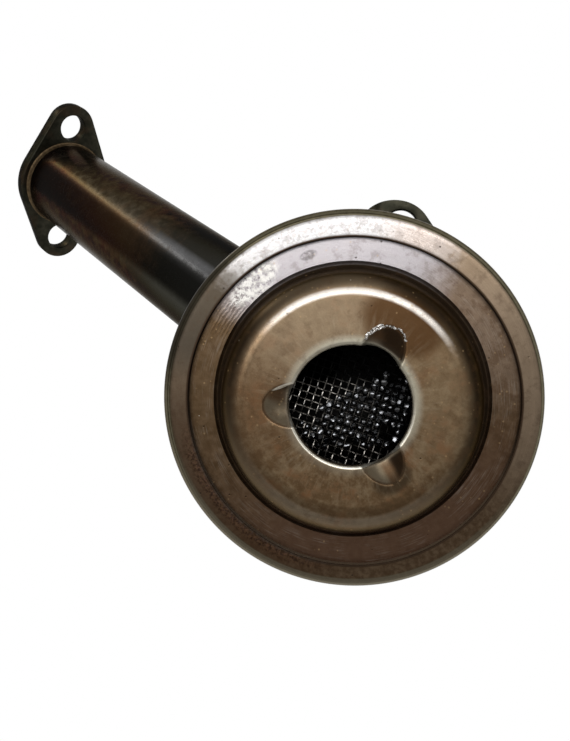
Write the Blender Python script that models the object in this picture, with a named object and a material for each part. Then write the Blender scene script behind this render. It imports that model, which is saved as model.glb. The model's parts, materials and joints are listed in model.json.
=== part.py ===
"""Oil pickup tube: a round strainer head with a crimped bell, a slanted tube, a two-ear flange and a bracket.

Metres, +Z up. The inlet faces down and the tube rises towards +X. The origin is a point on the mounting face
of the tube flange, near the tip of its ear. Run with: blender --background --python part.py
"""
import math

import bmesh
import bpy
from mathutils import Vector

# Clearance between pieces that touch or nest, and how finely round shapes are divided
FIT_GAP = 0.0003
HEAD_SIDES = 60
TUBE_SIDES = 48
HOLE_SIDES = 24
EDGE_STEPS = 4
ROUND_STEPS = 6
ROLL_STEPS = 3
BALL_STEPS = 9
EAR_STEPS = 12
SHARP_ANGLE = math.radians(32)

# Rim: the bell's sheet folded round the edges of the cover and the screen. Depths run up from the lip's face
RIM_RADIUS = 0.0358
RIM_EDGE_WIDTH = 0.0014
RIM_EDGE_DEPTH = 0.0012
RIM_BACK_WIDTH = 0.0010
RIM_BACK_DEPTH = 0.0016
LIP_WIDTH = 0.00475
LIP_THICKNESS = 0.0013
LIP_EDGE = 0.0003

# Sheets and the wire disc between them
BELL_THICKNESS = 0.0013
COVER_THICKNESS = 0.0012
SCREEN_THICKNESS = 0.0008
SCREEN_DISH = 0.0008
CLAMP_WIDTH = 0.0070
JOGGLE_WIDTH = 0.0010

# Bell: a steep cone that ends in part of a ball, whose centre is where the tube's axis meets the head's axis
BELL_INSET = 0.0118
BELL_CENTRE_DEPTH = 0.0212
BELL_CONE_ANGLE = math.radians(82)
BELL_FILLET = 0.0020

# Inlet cover: a flat flange, a groove, a dome with a rounded shoulder, and a plateau round the inlet
COVER_FLANGE_WIDTH = 0.0055
GROOVE_DEPTH = 0.00055
GROOVE_HALF_WIDTH = 0.00075
GROOVE_TO_WALL = 0.00055
DOME_HEIGHT = 0.00645
DOME_WALL_LEAN = 0.00065
DOME_SHOULDER = 0.0045
DOME_WALL_SLOPE = math.radians(10)
PLATEAU_WIDTH = 0.00885
INLET_ROLL = 0.0020
INLET_LIP_LENGTH = 0.0006

# Three scoops pressed in at the edge of the inlet
SCOOP_COUNT = 3
SCOOP_FIRST_ANGLE = math.radians(89.3)
SCOOP_DEPTH = 0.0022
SCOOP_LENGTH = 0.0053
SCOOP_HALF_WIDTH = 0.0042
SCOOP_TIP_HALF_WIDTH = 0.0015
SCOOP_SIDE_SHARE = 0.6
SCOOP_RISE = 0.75

# Gaps in the strainer screen, which stand for the weave
GAP_PITCH = 0.0036
GAP_SIDE = 0.0024
GAP_FIELD_MARGIN = 0.0073
WEAVE_ANGLE = math.radians(77.3)

# Pickup tube
TUBE_RADIUS = 0.0127
TUBE_WALL = 0.0016
TUBE_TILT = math.radians(46.7)
TUBE_INSERTION = 0.0015

# Tube flange: two ears round the tube at its far end
FLANGE_DISTANCE = 0.1480
FLANGE_THICKNESS = 0.0040
FLANGE_WAIST_WALL = 0.0021
FLANGE_HOLE_WALL = 0.0012
FLANGE_HOLE_RADIUS = 0.0040
FLANGE_EAR_WALL = 0.0031
FLANGE_TURN = math.radians(-23)
FLANGE_BEVEL = 0.0005

# Bracket: a tab with one turned edge, welded to the bell's wall
BRACKET_DEPTH = 0.0095
BRACKET_THICKNESS = 0.0020
BRACKET_ANGLE = math.radians(75.3)
BRACKET_REACH = 0.0084
BRACKET_HOLE_RADIUS = 0.0032
BRACKET_EAR_WALL = 0.0019
BRACKET_BASE_HALF_WIDTH = 0.0090
BRACKET_SIDE = 0.0071
BRACKET_CORNER_REACH = 0.0026
BRACKET_CORNER_RADIUS = 0.0010
BRACKET_EAR_START = math.radians(80)
BRACKET_EAR_END = math.radians(-40)
BRACKET_CORNER_START = math.radians(25)
BRACKET_LIP_HEIGHT = 0.0065
BRACKET_BEND_RADIUS = 0.0030
BRACKET_BEVEL = 0.0003

# Fillets of filler metal at the three joints
BELL_BEAD_WIDTH = 0.0024
BELL_BEAD_HEIGHT = 0.0030
FLANGE_BEAD_WIDTH = 0.0007
FLANGE_BEAD_HEIGHT = 0.0016
WELD_WIDTH = 0.0016
WELD_HEIGHT = 0.0011
WELD_HALF_ANGLE = math.radians(9.5)
BEAD_HOLLOW = 0.25

# Radii that follow from the rim inwards
LIP_FACE_RADIUS = RIM_RADIUS - RIM_EDGE_WIDTH
LIP_INNER_RADIUS = RIM_RADIUS - LIP_WIDTH
POCKET_RADIUS = RIM_RADIUS - BELL_THICKNESS
SHEET_EDGE_RADIUS = POCKET_RADIUS - FIT_GAP
JOGGLE_RADIUS = RIM_RADIUS - CLAMP_WIDTH
BELL_RADIUS = RIM_RADIUS - BELL_INSET
GAP_FIELD_RADIUS = JOGGLE_RADIUS - GAP_FIELD_MARGIN
GROOVE_RADIUS = LIP_INNER_RADIUS - COVER_FLANGE_WIDTH
DOME_WALL_RADIUS = GROOVE_RADIUS - GROOVE_TO_WALL
DOME_WALL_TOP_RADIUS = DOME_WALL_RADIUS - DOME_WALL_LEAN
INLET_RADIUS = DOME_WALL_TOP_RADIUS - DOME_SHOULDER - PLATEAU_WIDTH

# Levels that follow from the stack of sheets
COVER_FRONT = LIP_THICKNESS + FIT_GAP
COVER_BACK = COVER_FRONT + COVER_THICKNESS
SCREEN_FRONT = COVER_BACK + FIT_GAP
SCREEN_BACK = SCREEN_FRONT + SCREEN_THICKNESS
BELL_SEAT = SCREEN_BACK + FIT_GAP
BELL_BACK = BELL_SEAT + BELL_THICKNESS

# Sizes of the flange that follow from the tube
FLANGE_WAIST_RADIUS = TUBE_RADIUS + FLANGE_WAIST_WALL
FLANGE_HOLE_DISTANCE = TUBE_RADIUS + FLANGE_HOLE_RADIUS + FLANGE_HOLE_WALL
FLANGE_EAR_RADIUS = FLANGE_HOLE_RADIUS + FLANGE_EAR_WALL
FLANGE_FACE_DISTANCE = FLANGE_DISTANCE + FLANGE_THICKNESS
FLANGE_FACE_POINT_RADIUS = FLANGE_HOLE_DISTANCE + (FLANGE_HOLE_RADIUS + FLANGE_EAR_RADIUS) / 2


def clear_scene():
    for item in list(bpy.data.objects):
        bpy.data.objects.remove(item, do_unlink=True)


def material(name, color, metallic, roughness):
    made = bpy.data.materials.new(name)
    made.use_nodes = True
    shader = made.node_tree.nodes["Principled BSDF"]
    shader.inputs["Base Color"].default_value = (*color, 1.0)
    shader.inputs["Metallic"].default_value = metallic
    shader.inputs["Roughness"].default_value = roughness
    made.diffuse_color = (*color, 1.0)
    return made


def add_object(name, bm, finish=None, parent=None):
    """Turns a bmesh into a named object whose faces point outwards, smooth except at its sharp edges."""
    bmesh.ops.recalc_face_normals(bm, faces=bm.faces)
    mesh = bpy.data.meshes.new(name)
    bm.to_mesh(mesh)
    bm.free()
    mesh.shade_smooth()
    mesh.set_sharp_from_angle(angle=SHARP_ANGLE)
    made = bpy.data.objects.new(name, mesh)
    bpy.context.scene.collection.objects.link(made)
    made.parent = parent
    if finish is not None:
        mesh.materials.append(finish)
    return made


def add_empty(name, location=(0, 0, 0), rotation=(0, 0, 0), parent=None):
    made = bpy.data.objects.new(name, None)
    bpy.context.scene.collection.objects.link(made)
    made.location = location
    made.rotation_euler = rotation
    made.parent = parent
    return made


def cut(body, tool, operation="DIFFERENCE"):
    """Cuts body with tool by an exact Boolean and keeps the tool as a hidden guide."""
    tool.hide_render = True
    tool.display_type = "WIRE"
    step = body.modifiers.new(tool.name, "BOOLEAN")
    step.operation = operation
    step.solver = "EXACT"
    step.object = tool


def bevel(body, width):
    step = body.modifiers.new("edge_round", "BEVEL")
    step.width = width
    step.segments = 2
    step.limit_method = "ANGLE"
    step.angle_limit = math.radians(50)


def arc(centre, radius, start, end, steps):
    """Points along an arc in the plane of (radius, height), or of (x, y), from start to end in radians."""
    points = []
    for i in range(steps + 1):
        angle = start + (end - start) * i / steps
        points.append((centre[0] + radius * math.cos(angle), centre[1] + radius * math.sin(angle)))
    return points


def turned(outline, sides, start=0.0, sweep=math.tau, press=None):
    """Turns a closed outline of (radius, height) about Z. A point on the axis becomes one vertex.

    A sweep of less than a full turn is closed by its two end faces. press(radius, angle) lifts a point.
    """
    bm = bmesh.new()
    whole = math.isclose(sweep, math.tau)
    columns = sides if whole else sides + 1
    rings = []
    for radius, height in outline:
        if radius < 1e-7:
            rings.append([bm.verts.new((0, 0, height))] * columns)
            continue
        ring = []
        for i in range(columns):
            angle = start + sweep * i / sides
            lift = press(radius, angle) if press else 0.0
            ring.append(bm.verts.new((radius * math.cos(angle), radius * math.sin(angle), height + lift)))
        rings.append(ring)
    on_axis = outline[0][0] < 1e-7 and outline[-1][0] < 1e-7
    bands = len(rings) - 1 if on_axis else len(rings)
    for j in range(bands):
        lower, upper = rings[j], rings[(j + 1) % len(rings)]
        for i in range(sides):
            k = (i + 1) % columns
            corners = []
            for vert in (lower[i], lower[k], upper[k], upper[i]):
                if vert not in corners:
                    corners.append(vert)
            bm.faces.new(corners)
    if not whole:
        bm.faces.new([ring[0] for ring in rings])
        bm.faces.new([ring[-1] for ring in rings])
    return bm


def prism(outline, low, high):
    """A straight-sided block over an outline of (x, y) points."""
    bm = bmesh.new()
    floor = [bm.verts.new((x, y, low)) for x, y in outline]
    roof = [bm.verts.new((x, y, high)) for x, y in outline]
    bm.faces.new(floor)
    bm.faces.new(roof)
    for i in range(len(outline)):
        k = (i + 1) % len(outline)
        bm.faces.new((floor[i], floor[k], roof[k], roof[i]))
    return bm


def rod(radius, low, high, sides, centre=(0.0, 0.0)):
    return prism(arc(centre, radius, 0, math.tau * (sides - 1) / sides, sides - 1), low, high)


def bell_skin(inset):
    """Bell wall from the flange to the top, inset from its outer face by 0 or by the wall's thickness."""
    flange = BELL_BACK - inset
    outer = [(JOGGLE_RADIUS + JOGGLE_WIDTH / 2, flange),
             (JOGGLE_RADIUS - JOGGLE_WIDTH / 2, flange + SCREEN_DISH)]
    out = Vector((math.sin(BELL_CONE_ANGLE), math.cos(BELL_CONE_ANGLE)))
    down = Vector((math.cos(BELL_CONE_ANGLE), -math.sin(BELL_CONE_ANGLE)))
    ball_edge = Vector((0, BELL_CENTRE_DEPTH)) + BELL_RADIUS * out
    fillet_height = BELL_BACK + SCREEN_DISH + BELL_FILLET
    run = (ball_edge.y + BELL_FILLET * out.y - fillet_height) / math.sin(BELL_CONE_ANGLE)
    centre = ball_edge + run * down + BELL_FILLET * out
    toward_cone = math.atan2(-out.y, -out.x)
    toward_flange = -math.pi / 2
    fillet = arc(centre, BELL_FILLET + inset, toward_flange, toward_cone, EDGE_STEPS)
    cone_end = math.pi / 2 - BELL_CONE_ANGLE
    ball = arc((0, BELL_CENTRE_DEPTH), BELL_RADIUS - inset, cone_end, math.pi / 2, BALL_STEPS)
    ball[-1] = (0.0, ball[-1][1])
    return outer + fillet + ball


def bell_wall_radius(depth):
    """Outer radius of the bell's cone at a depth below its ball."""
    edge_height = BELL_CENTRE_DEPTH + BELL_RADIUS * math.cos(BELL_CONE_ANGLE)
    edge_radius = BELL_RADIUS * math.sin(BELL_CONE_ANGLE)
    return edge_radius + (edge_height - depth) / math.tan(BELL_CONE_ANGLE)


def make_bell(finish, parent, tube_axis):
    """The bell and its folded rim in one sheet, open at the inlet side and where the tube comes in."""
    outline = [(LIP_INNER_RADIUS, LIP_EDGE), (LIP_INNER_RADIUS + LIP_EDGE, 0.0)]
    for across, along in arc((0, 0), 1.0, 0, math.pi / 2, EDGE_STEPS):
        outline.append((LIP_FACE_RADIUS + RIM_EDGE_WIDTH * along, RIM_EDGE_DEPTH * (1 - across)))
    for across, along in arc((0, 0), 1.0, 0, math.pi / 2, EDGE_STEPS):
        outline.append((RIM_RADIUS - RIM_BACK_WIDTH * (1 - across), BELL_BACK - RIM_BACK_DEPTH * (1 - along)))
    outline += bell_skin(0)
    inner = bell_skin(BELL_THICKNESS)
    inner.reverse()
    pocket = [(POCKET_RADIUS, BELL_SEAT), (POCKET_RADIUS, LIP_THICKNESS), (LIP_INNER_RADIUS, LIP_THICKNESS)]
    ring = outline + inner + pocket
    # The loop is cut open at the two points on the axis, so that it starts and ends there
    split = len(outline)
    bell = add_object("bell_housing", turned(ring[split:] + ring[:split], HEAD_SIDES), finish, parent)
    bore = rod(TUBE_RADIUS + FIT_GAP, 0.0, BELL_RADIUS + TUBE_RADIUS, TUBE_SIDES)
    cut(bell, add_object("bell_bore_cutter", bore, parent=tube_axis))
    return bell


def scoop_lift(radius, angle):
    """How far the three scoops press the cover back at a point."""
    lift = 0.0
    for k in range(SCOOP_COUNT):
        turn = angle - SCOOP_FIRST_ANGLE - math.tau * k / SCOOP_COUNT
        if math.cos(turn) <= 0:
            continue
        reach = max(0.0, (radius * math.cos(turn) - INLET_RADIUS) / SCOOP_LENGTH)
        if reach >= 1:
            continue
        spread = SCOOP_TIP_HALF_WIDTH + (SCOOP_HALF_WIDTH - SCOOP_TIP_HALF_WIDTH) * (1 - reach)
        across = abs(radius * math.sin(turn)) / (spread * math.sqrt(1 - reach**6))
        side = min(1.0, max(0.0, (1 - across) / SCOOP_SIDE_SHARE))
        lift = max(lift, SCOOP_DEPTH * (1 - reach) ** SCOOP_RISE * side * side * (3 - 2 * side))
    return lift


def cover_skin(inset):
    """Profile of the cover from its edge to the inlet, inset from the front by 0 or by the thickness."""
    flat = COVER_FRONT + inset
    groove = [(GROOVE_RADIUS + GROOVE_HALF_WIDTH + inset / 2, flat),
              (GROOVE_RADIUS + GROOVE_HALF_WIDTH / 2, flat + GROOVE_DEPTH / 3),
              (GROOVE_RADIUS - inset / 4, flat + GROOVE_DEPTH),
              ((DOME_WALL_RADIUS + GROOVE_RADIUS) / 2 - inset, flat + GROOVE_DEPTH * 2 / 3),
              (DOME_WALL_RADIUS - inset, COVER_FRONT)]
    shoulder_centre = (DOME_WALL_TOP_RADIUS - DOME_SHOULDER, DOME_SHOULDER - DOME_HEIGHT)
    shoulder = arc(shoulder_centre, DOME_SHOULDER - inset, -DOME_WALL_SLOPE, -math.pi / 2, ROUND_STEPS)
    roll_centre = (INLET_RADIUS + INLET_ROLL, INLET_ROLL - DOME_HEIGHT)
    roll = arc(roll_centre, INLET_ROLL - inset, -math.pi / 2, -math.pi, ROLL_STEPS)
    plateau = []
    scoop_end = INLET_RADIUS + SCOOP_LENGTH
    for i in range(4):
        radius = scoop_end + SCOOP_TIP_HALF_WIDTH / 2 + (roll_centre[0] - scoop_end) * i / 4
        plateau.append((radius, inset - DOME_HEIGHT))
    lip_end = (INLET_RADIUS + inset, roll_centre[1] + INLET_LIP_LENGTH)
    return [(SHEET_EDGE_RADIUS, flat)] + groove + shoulder + plateau + roll + [lip_end]


def make_cover(finish, parent):
    back = cover_skin(COVER_THICKNESS)
    back.reverse()
    sheet = turned(cover_skin(0) + back, HEAD_SIDES, press=scoop_lift)
    return add_object("inlet_cover", sheet, finish, parent)


def make_screen(finish, parent):
    """The wire disc: its edge is clamped in the rim and its field is pierced by square gaps."""
    dished = SCREEN_FRONT + SCREEN_DISH
    ring = [(SHEET_EDGE_RADIUS, SCREEN_FRONT), (JOGGLE_RADIUS + JOGGLE_WIDTH / 2, SCREEN_FRONT),
            (JOGGLE_RADIUS - JOGGLE_WIDTH / 2, dished), (0.0, dished)]
    back = [(radius, height + SCREEN_THICKNESS) for radius, height in ring]
    back.reverse()
    loop = back + ring
    screen = add_object("strainer_screen", turned(loop, HEAD_SIDES), finish, parent)
    bm = bmesh.new()
    reach = int(GAP_FIELD_RADIUS / GAP_PITCH)
    half = GAP_SIDE / 2
    low, high = SCREEN_FRONT, SCREEN_BACK + SCREEN_DISH + SCREEN_THICKNESS
    for i in range(-reach, reach + 1):
        for j in range(-reach, reach + 1):
            x, y = i * GAP_PITCH, j * GAP_PITCH
            if math.hypot(abs(x) + half, abs(y) + half) > GAP_FIELD_RADIUS:
                continue
            corners = [(-half, -half), (half, -half), (half, half), (-half, half)]
            block = prism([(x + dx, y + dy) for dx, dy in corners], low, high)
            piece = bpy.data.meshes.new("gap")
            block.to_mesh(piece)
            block.free()
            bm.from_mesh(piece)
            bpy.data.meshes.remove(piece)
    turn = add_empty("weave_turn", rotation=(0, 0, WEAVE_ANGLE), parent=parent)
    cut(screen, add_object("screen_gap_cutter", bm, parent=turn))
    return screen


def make_tube(finish, parent):
    inner = TUBE_RADIUS - TUBE_WALL
    start = math.sqrt((BELL_RADIUS - BELL_THICKNESS) ** 2 - TUBE_RADIUS**2) - TUBE_INSERTION
    outline = [(inner, start), (TUBE_RADIUS, start), (TUBE_RADIUS, FLANGE_FACE_DISTANCE),
               (inner, FLANGE_FACE_DISTANCE)]
    return add_object("pickup_tube", turned(outline, TUBE_SIDES), finish, parent)


def flange_outline():
    """Two ear arcs and two waist arcs, joined by lines that touch both."""
    touch = math.acos((FLANGE_WAIST_RADIUS - FLANGE_EAR_RADIUS) / FLANGE_HOLE_DISTANCE)
    points = []
    for side in (0, 1):
        turn = math.pi * side
        ear_centre = (FLANGE_HOLE_DISTANCE * math.cos(turn), FLANGE_HOLE_DISTANCE * math.sin(turn))
        points += arc(ear_centre, FLANGE_EAR_RADIUS, turn - touch, turn + touch, EAR_STEPS)
        points += arc((0, 0), FLANGE_WAIST_RADIUS, turn + touch, turn + math.pi - touch, ROUND_STEPS)
    return points


def make_flange(finish, parent):
    plate = prism(flange_outline(), FLANGE_DISTANCE, FLANGE_FACE_DISTANCE)
    flange = add_object("tube_flange", plate, finish, parent)
    bevel(flange, FLANGE_BEVEL)
    low, high = FLANGE_DISTANCE - FLANGE_THICKNESS, FLANGE_FACE_DISTANCE + FLANGE_THICKNESS
    bore = rod(TUBE_RADIUS + FIT_GAP, low, high, TUBE_SIDES)
    cut(flange, add_object("flange_bore_cutter", bore, parent=parent))
    for name, side in (("flange_hole_cutter_a", 1), ("flange_hole_cutter_b", -1)):
        hole = rod(FLANGE_HOLE_RADIUS, low, high, HOLE_SIDES, (side * FLANGE_HOLE_DISTANCE, 0.0))
        cut(flange, add_object(name, hole, parent=parent))
    return flange


def bracket_hole_distance():
    """Distance of the tab's bolt hole from the head's axis, reached from the bell's wall."""
    return bell_wall_radius(BRACKET_DEPTH) + BRACKET_REACH


def bracket_plan():
    """Plan of the tab, seen along Z with the head's axis at the origin and the bolt hole on +X."""
    hole_distance = bracket_hole_distance()
    ear_radius = BRACKET_HOLE_RADIUS + BRACKET_EAR_WALL
    ear = arc((hole_distance, 0.0), ear_radius, BRACKET_EAR_START, BRACKET_EAR_END, EAR_STEPS)
    corner_centre = (hole_distance + BRACKET_CORNER_REACH - BRACKET_CORNER_RADIUS,
                     BRACKET_CORNER_RADIUS - BRACKET_SIDE)
    corner = arc(corner_centre, BRACKET_CORNER_RADIUS, BRACKET_CORNER_START, -math.pi / 2, EDGE_STEPS)
    root = BELL_RADIUS * math.sin(BELL_CONE_ANGLE) / 2
    return [(root, BRACKET_BASE_HALF_WIDTH)] + ear + corner + [(root, -BRACKET_SIDE)]


def bracket_section():
    """The bent sheet seen along X: (y, z) points of the flat tab and of its turned edge."""
    low, high = BRACKET_DEPTH, BRACKET_DEPTH + BRACKET_THICKNESS
    inner = BRACKET_BEND_RADIUS - BRACKET_THICKNESS
    centre = (BRACKET_BEND_RADIUS - BRACKET_SIDE, low + BRACKET_BEND_RADIUS)
    outside = arc(centre, BRACKET_BEND_RADIUS, -math.pi / 2, -math.pi, ROUND_STEPS)
    inside = arc(centre, inner, -math.pi, -math.pi / 2, EDGE_STEPS)
    top = low + BRACKET_LIP_HEIGHT
    far = BRACKET_BASE_HALF_WIDTH + BRACKET_THICKNESS
    return ([(far, low)] + outside + [(-BRACKET_SIDE, top), (BRACKET_THICKNESS - BRACKET_SIDE, top)]
            + inside + [(far, high)])


def make_bracket(finish, parent):
    hole_distance = bracket_hole_distance()
    bm = prism(bracket_section(), 0.0, hole_distance + 2 * (BRACKET_HOLE_RADIUS + BRACKET_EAR_WALL))
    for vert in bm.verts:
        across, height, along = vert.co
        vert.co = (along, across, height)
    bracket = add_object("strainer_bracket", bm, finish, parent)
    low, high = 0.0, BRACKET_DEPTH + 2 * BRACKET_LIP_HEIGHT
    plan = add_object("bracket_plan_cutter", prism(bracket_plan(), low, high), parent=parent)
    cut(bracket, plan, "INTERSECT")
    bevel(bracket, BRACKET_BEVEL)
    seat_radius = bell_wall_radius(BRACKET_DEPTH) + FIT_GAP
    seat = rod(seat_radius, low, high, HEAD_SIDES)
    cut(bracket, add_object("bracket_seat_cutter", seat, parent=parent))
    hole = rod(BRACKET_HOLE_RADIUS, low, high, HOLE_SIDES, (hole_distance, 0.0))
    cut(bracket, add_object("bracket_hole_cutter", hole, parent=parent))
    return bracket


def hollow_side(start, end, corner):
    """A point on the hollow face of a fillet, drawn from the middle of its face towards its corner."""
    middle = (Vector(start) + Vector(end)) / 2
    return tuple(middle.lerp(Vector(corner), BEAD_HOLLOW))


def make_bell_bead(finish, parent, head):
    """Filler round the tube where it enters the bell, with its foot cut to the bell's outer face."""
    inner = TUBE_RADIUS + FIT_GAP
    foot_radius = inner + BELL_BEAD_WIDTH
    level = math.sqrt(BELL_RADIUS**2 - foot_radius**2)
    tip = (inner, math.sqrt(BELL_RADIUS**2 - inner**2) + BELL_BEAD_HEIGHT)
    corner = (inner, level - BELL_BEAD_HEIGHT)
    outline = [corner, (foot_radius, corner[1]), (foot_radius, level + FIT_GAP),
               hollow_side((foot_radius, level), tip, (inner, level)), tip]
    bead = add_object("bell_joint_bead", turned(outline, TUBE_SIDES), finish, parent)
    skin = turned([(0.0, BELL_BACK - BELL_THICKNESS)] + bell_skin(-FIT_GAP), HEAD_SIDES)
    cut(bead, add_object("bell_bead_cutter", skin, parent=head))
    return bead


def make_flange_bead(finish, parent):
    """Filler round the tube on the head's side of the flange."""
    inner = TUBE_RADIUS + FIT_GAP
    level = FLANGE_DISTANCE - FIT_GAP
    corner = (inner, level)
    foot = (inner + FLANGE_BEAD_WIDTH, level)
    tip = (inner, level - FLANGE_BEAD_HEIGHT)
    outline = [corner, foot, hollow_side(foot, tip, corner), tip]
    return add_object("flange_joint_bead", turned(outline, TUBE_SIDES), finish, parent)


def make_bracket_weld(finish, parent):
    """Weld along the curved root of the tab, on its lower side."""
    level = BRACKET_DEPTH - FIT_GAP
    corner = (bell_wall_radius(level) + FIT_GAP, level)
    foot = (corner[0] + WELD_WIDTH, level)
    tip = (bell_wall_radius(level - WELD_HEIGHT) + FIT_GAP, level - WELD_HEIGHT)
    outline = [corner, foot, hollow_side(foot, tip, corner), tip]
    middle = (BRACKET_BASE_HALF_WIDTH - BRACKET_SIDE + BRACKET_BEND_RADIUS) / 2 / corner[0]
    weld = turned(outline, HOLE_SIDES, middle - WELD_HALF_ANGLE, 2 * WELD_HALF_ANGLE)
    return add_object("bracket_weld", weld, finish, parent)


def main():
    clear_scene()
    steel = material("phosphated_bell_steel", (0.36, 0.32, 0.27), 0.9, 0.38)
    bronze = material("bronzed_cover_steel", (0.30, 0.24, 0.18), 0.9, 0.4)
    wire = material("dark_wire", (0.09, 0.085, 0.08), 0.9, 0.4)
    oxide = material("blackened_tube_steel", (0.07, 0.065, 0.06), 0.8, 0.42)
    ears = material("blackened_ear_steel", (0.08, 0.08, 0.07), 0.8, 0.45)
    filler = material("filler_metal", (0.16, 0.13, 0.09), 0.8, 0.5)

    tilt = Vector((math.sin(TUBE_TILT), 0.0, math.cos(TUBE_TILT)))
    across = Vector((math.cos(TUBE_TILT), 0.0, -math.sin(TUBE_TILT)))
    ear_way = math.cos(FLANGE_TURN) * Vector((0, -1, 0)) + math.sin(FLANGE_TURN) * across
    tube_root = Vector((0, 0, BELL_CENTRE_DEPTH))
    mount_point = tube_root + FLANGE_FACE_DISTANCE * tilt + FLANGE_FACE_POINT_RADIUS * ear_way

    head = add_empty("head_axis", location=-mount_point)
    tube_axis = add_empty("tube_axis", location=tube_root, rotation=(0, TUBE_TILT, 0), parent=head)
    flange_axis = add_empty("flange_axis", rotation=(0, 0, FLANGE_TURN - math.pi / 2), parent=tube_axis)
    bracket_axis = add_empty("bracket_axis", rotation=(0, 0, BRACKET_ANGLE), parent=head)

    make_bell(steel, head, tube_axis)
    make_cover(bronze, head)
    make_screen(wire, head)
    make_tube(oxide, tube_axis)
    make_flange(ears, flange_axis)
    make_bracket(ears, bracket_axis)
    make_bell_bead(filler, tube_axis, head)
    make_flange_bead(filler, tube_axis)
    make_bracket_weld(filler, bracket_axis)


main()
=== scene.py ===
# %% [markdown]
# # Oil pickup tube
# An oil pickup hangs in an engine's sump and draws oil through a strainer into the pump. This lesson dresses
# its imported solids: every visible surface gets a finer mesh and a real finish, and nothing is moved.
# Lengths are in metres, +Z is up as installed, and the inlet faces down, so the camera looks up at it.

# %% Load the frame
import json
import math

import bmesh
import bpy
from mathutils import Matrix, Vector


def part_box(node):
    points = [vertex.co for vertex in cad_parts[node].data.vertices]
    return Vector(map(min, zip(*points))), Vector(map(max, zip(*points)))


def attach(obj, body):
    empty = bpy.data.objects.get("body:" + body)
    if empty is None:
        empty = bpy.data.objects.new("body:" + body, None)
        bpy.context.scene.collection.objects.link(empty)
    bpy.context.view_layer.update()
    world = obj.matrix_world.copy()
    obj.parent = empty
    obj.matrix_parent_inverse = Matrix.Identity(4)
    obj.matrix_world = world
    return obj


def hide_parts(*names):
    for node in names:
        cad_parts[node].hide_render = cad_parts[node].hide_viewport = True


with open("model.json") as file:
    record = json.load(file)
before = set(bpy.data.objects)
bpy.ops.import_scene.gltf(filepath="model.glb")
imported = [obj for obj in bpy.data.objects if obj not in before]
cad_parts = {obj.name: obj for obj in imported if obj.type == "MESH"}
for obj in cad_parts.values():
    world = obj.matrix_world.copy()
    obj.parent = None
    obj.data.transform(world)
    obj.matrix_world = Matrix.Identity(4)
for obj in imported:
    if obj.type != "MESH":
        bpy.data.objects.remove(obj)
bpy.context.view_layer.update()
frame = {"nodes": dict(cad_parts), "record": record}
scene = bpy.context.scene
print("nodes:", sorted(frame["nodes"]))

# %% [markdown]
# ## Where things are
# The head is a body of revolution about a vertical axis, and the tube runs along a slanted one. Both axes are
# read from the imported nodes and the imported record, so that each piece made here lands where its solid is.
# Depth is measured up from the crimped face, along +Z.

# %% Find the two axes
RIM_WIDTH = 0.0118

bell_low, bell_high = map(Vector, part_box("bell_housing"))
HEAD = Vector(((bell_low.x + bell_high.x) / 2, (bell_low.y + bell_high.y) / 2, bell_low.z))
RIM_RADIUS = (bell_high.x - bell_low.x) / 2
BELL_RADIUS = RIM_RADIUS - RIM_WIDTH
BALL_CENTRE = Vector((HEAD.x, HEAD.y, bell_high.z - BELL_RADIUS))
AHEAD = Vector((0, 1, 0))
UPWARD = Vector((0, 0, 1))
TUBE_WAY = Vector(frame["record"]["mounts"][0]["axis"]).normalized()
TUBE_ACROSS = TUBE_WAY.cross(AHEAD).normalized()
TO_HEAD = Matrix.Translation(HEAD)
TO_TUBE = Matrix.Translation(BALL_CENTRE) @ Matrix((-TUBE_ACROSS, AHEAD, TUBE_WAY)).transposed().to_4x4()
print(f"head {HEAD}, rim radius {RIM_RADIUS * 1000:.2f} mm, tube way {TUBE_WAY}")

# %% [markdown]
# ## Camera
# The photo looks almost straight into the inlet, from a hand's breadth away. A camera is its place, the
# direction that it looks in and the direction that is up in its picture. Two of those directions and their
# cross product make its rotation.

# %% Place the camera
FOCAL_PIXELS = 900.0
PICTURE_HEIGHT = 741
SENSOR = 36.0
NEAREST_SEEN = 0.01
CAMERA_FROM_HEAD = Vector((0.010824, 0.018747, -0.167785))
LOOK = Vector((0.01687, -0.11884, 0.99277)).normalized()
PICTURE_UP = Vector((0.51063, 0.85469, 0.09364))

lens = bpy.data.cameras.new("camera")
lens.sensor_width = SENSOR
lens.lens = SENSOR * FOCAL_PIXELS / PICTURE_HEIGHT
lens.clip_start = NEAREST_SEEN
camera = bpy.data.objects.new("camera", lens)
scene.collection.objects.link(camera)
right = LOOK.cross(PICTURE_UP).normalized()
turn = Matrix((right, right.cross(LOOK), -LOOK)).transposed()
camera.matrix_world = Matrix.Translation(HEAD + CAMERA_FROM_HEAD) @ turn.to_4x4()
scene.camera = camera
print(f"lens {lens.lens:.1f} mm at {camera.location}")

# %% [markdown]
# ## Directions on the head's face
# The stains and scuffs on the head are easiest to place as one sees them: so many millimetres to the right of
# the axis and so many up in the picture. Seen from below, those two directions are the flat ones here.

# %% Name the picture's right and up on the face
FACE_RIGHT = Vector((right.x, right.y, 0)).normalized()
FACE_UP = FACE_RIGHT.cross(UPWARD)


def on_face(degrees):
    """The flat direction at an angle counted from the picture's right to its up."""
    angle = math.radians(degrees)
    return FACE_RIGHT * math.cos(angle) + FACE_UP * math.sin(angle)


print(f"face right {FACE_RIGHT}, face up {FACE_UP}")

# %% [markdown]
# ## Turning a sheet-metal section
# Pressed round parts are best made by turning their section about the axis, because every ring stays a
# ring. The section is a closed list of (radius, height) points. A shaping function may then move each point,
# which gives dents and presses that plain turning can't.

# %% Helpers for meshes
def arc(centre, radius, start, end, steps):
    """Points of (radius, height) along an arc, with its angles in degrees."""
    points = []
    for i in range(steps + 1):
        angle = math.radians(start + (end - start) * i / steps)
        points.append((centre[0] + radius * math.cos(angle), centre[1] + radius * math.sin(angle)))
    return points


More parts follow.
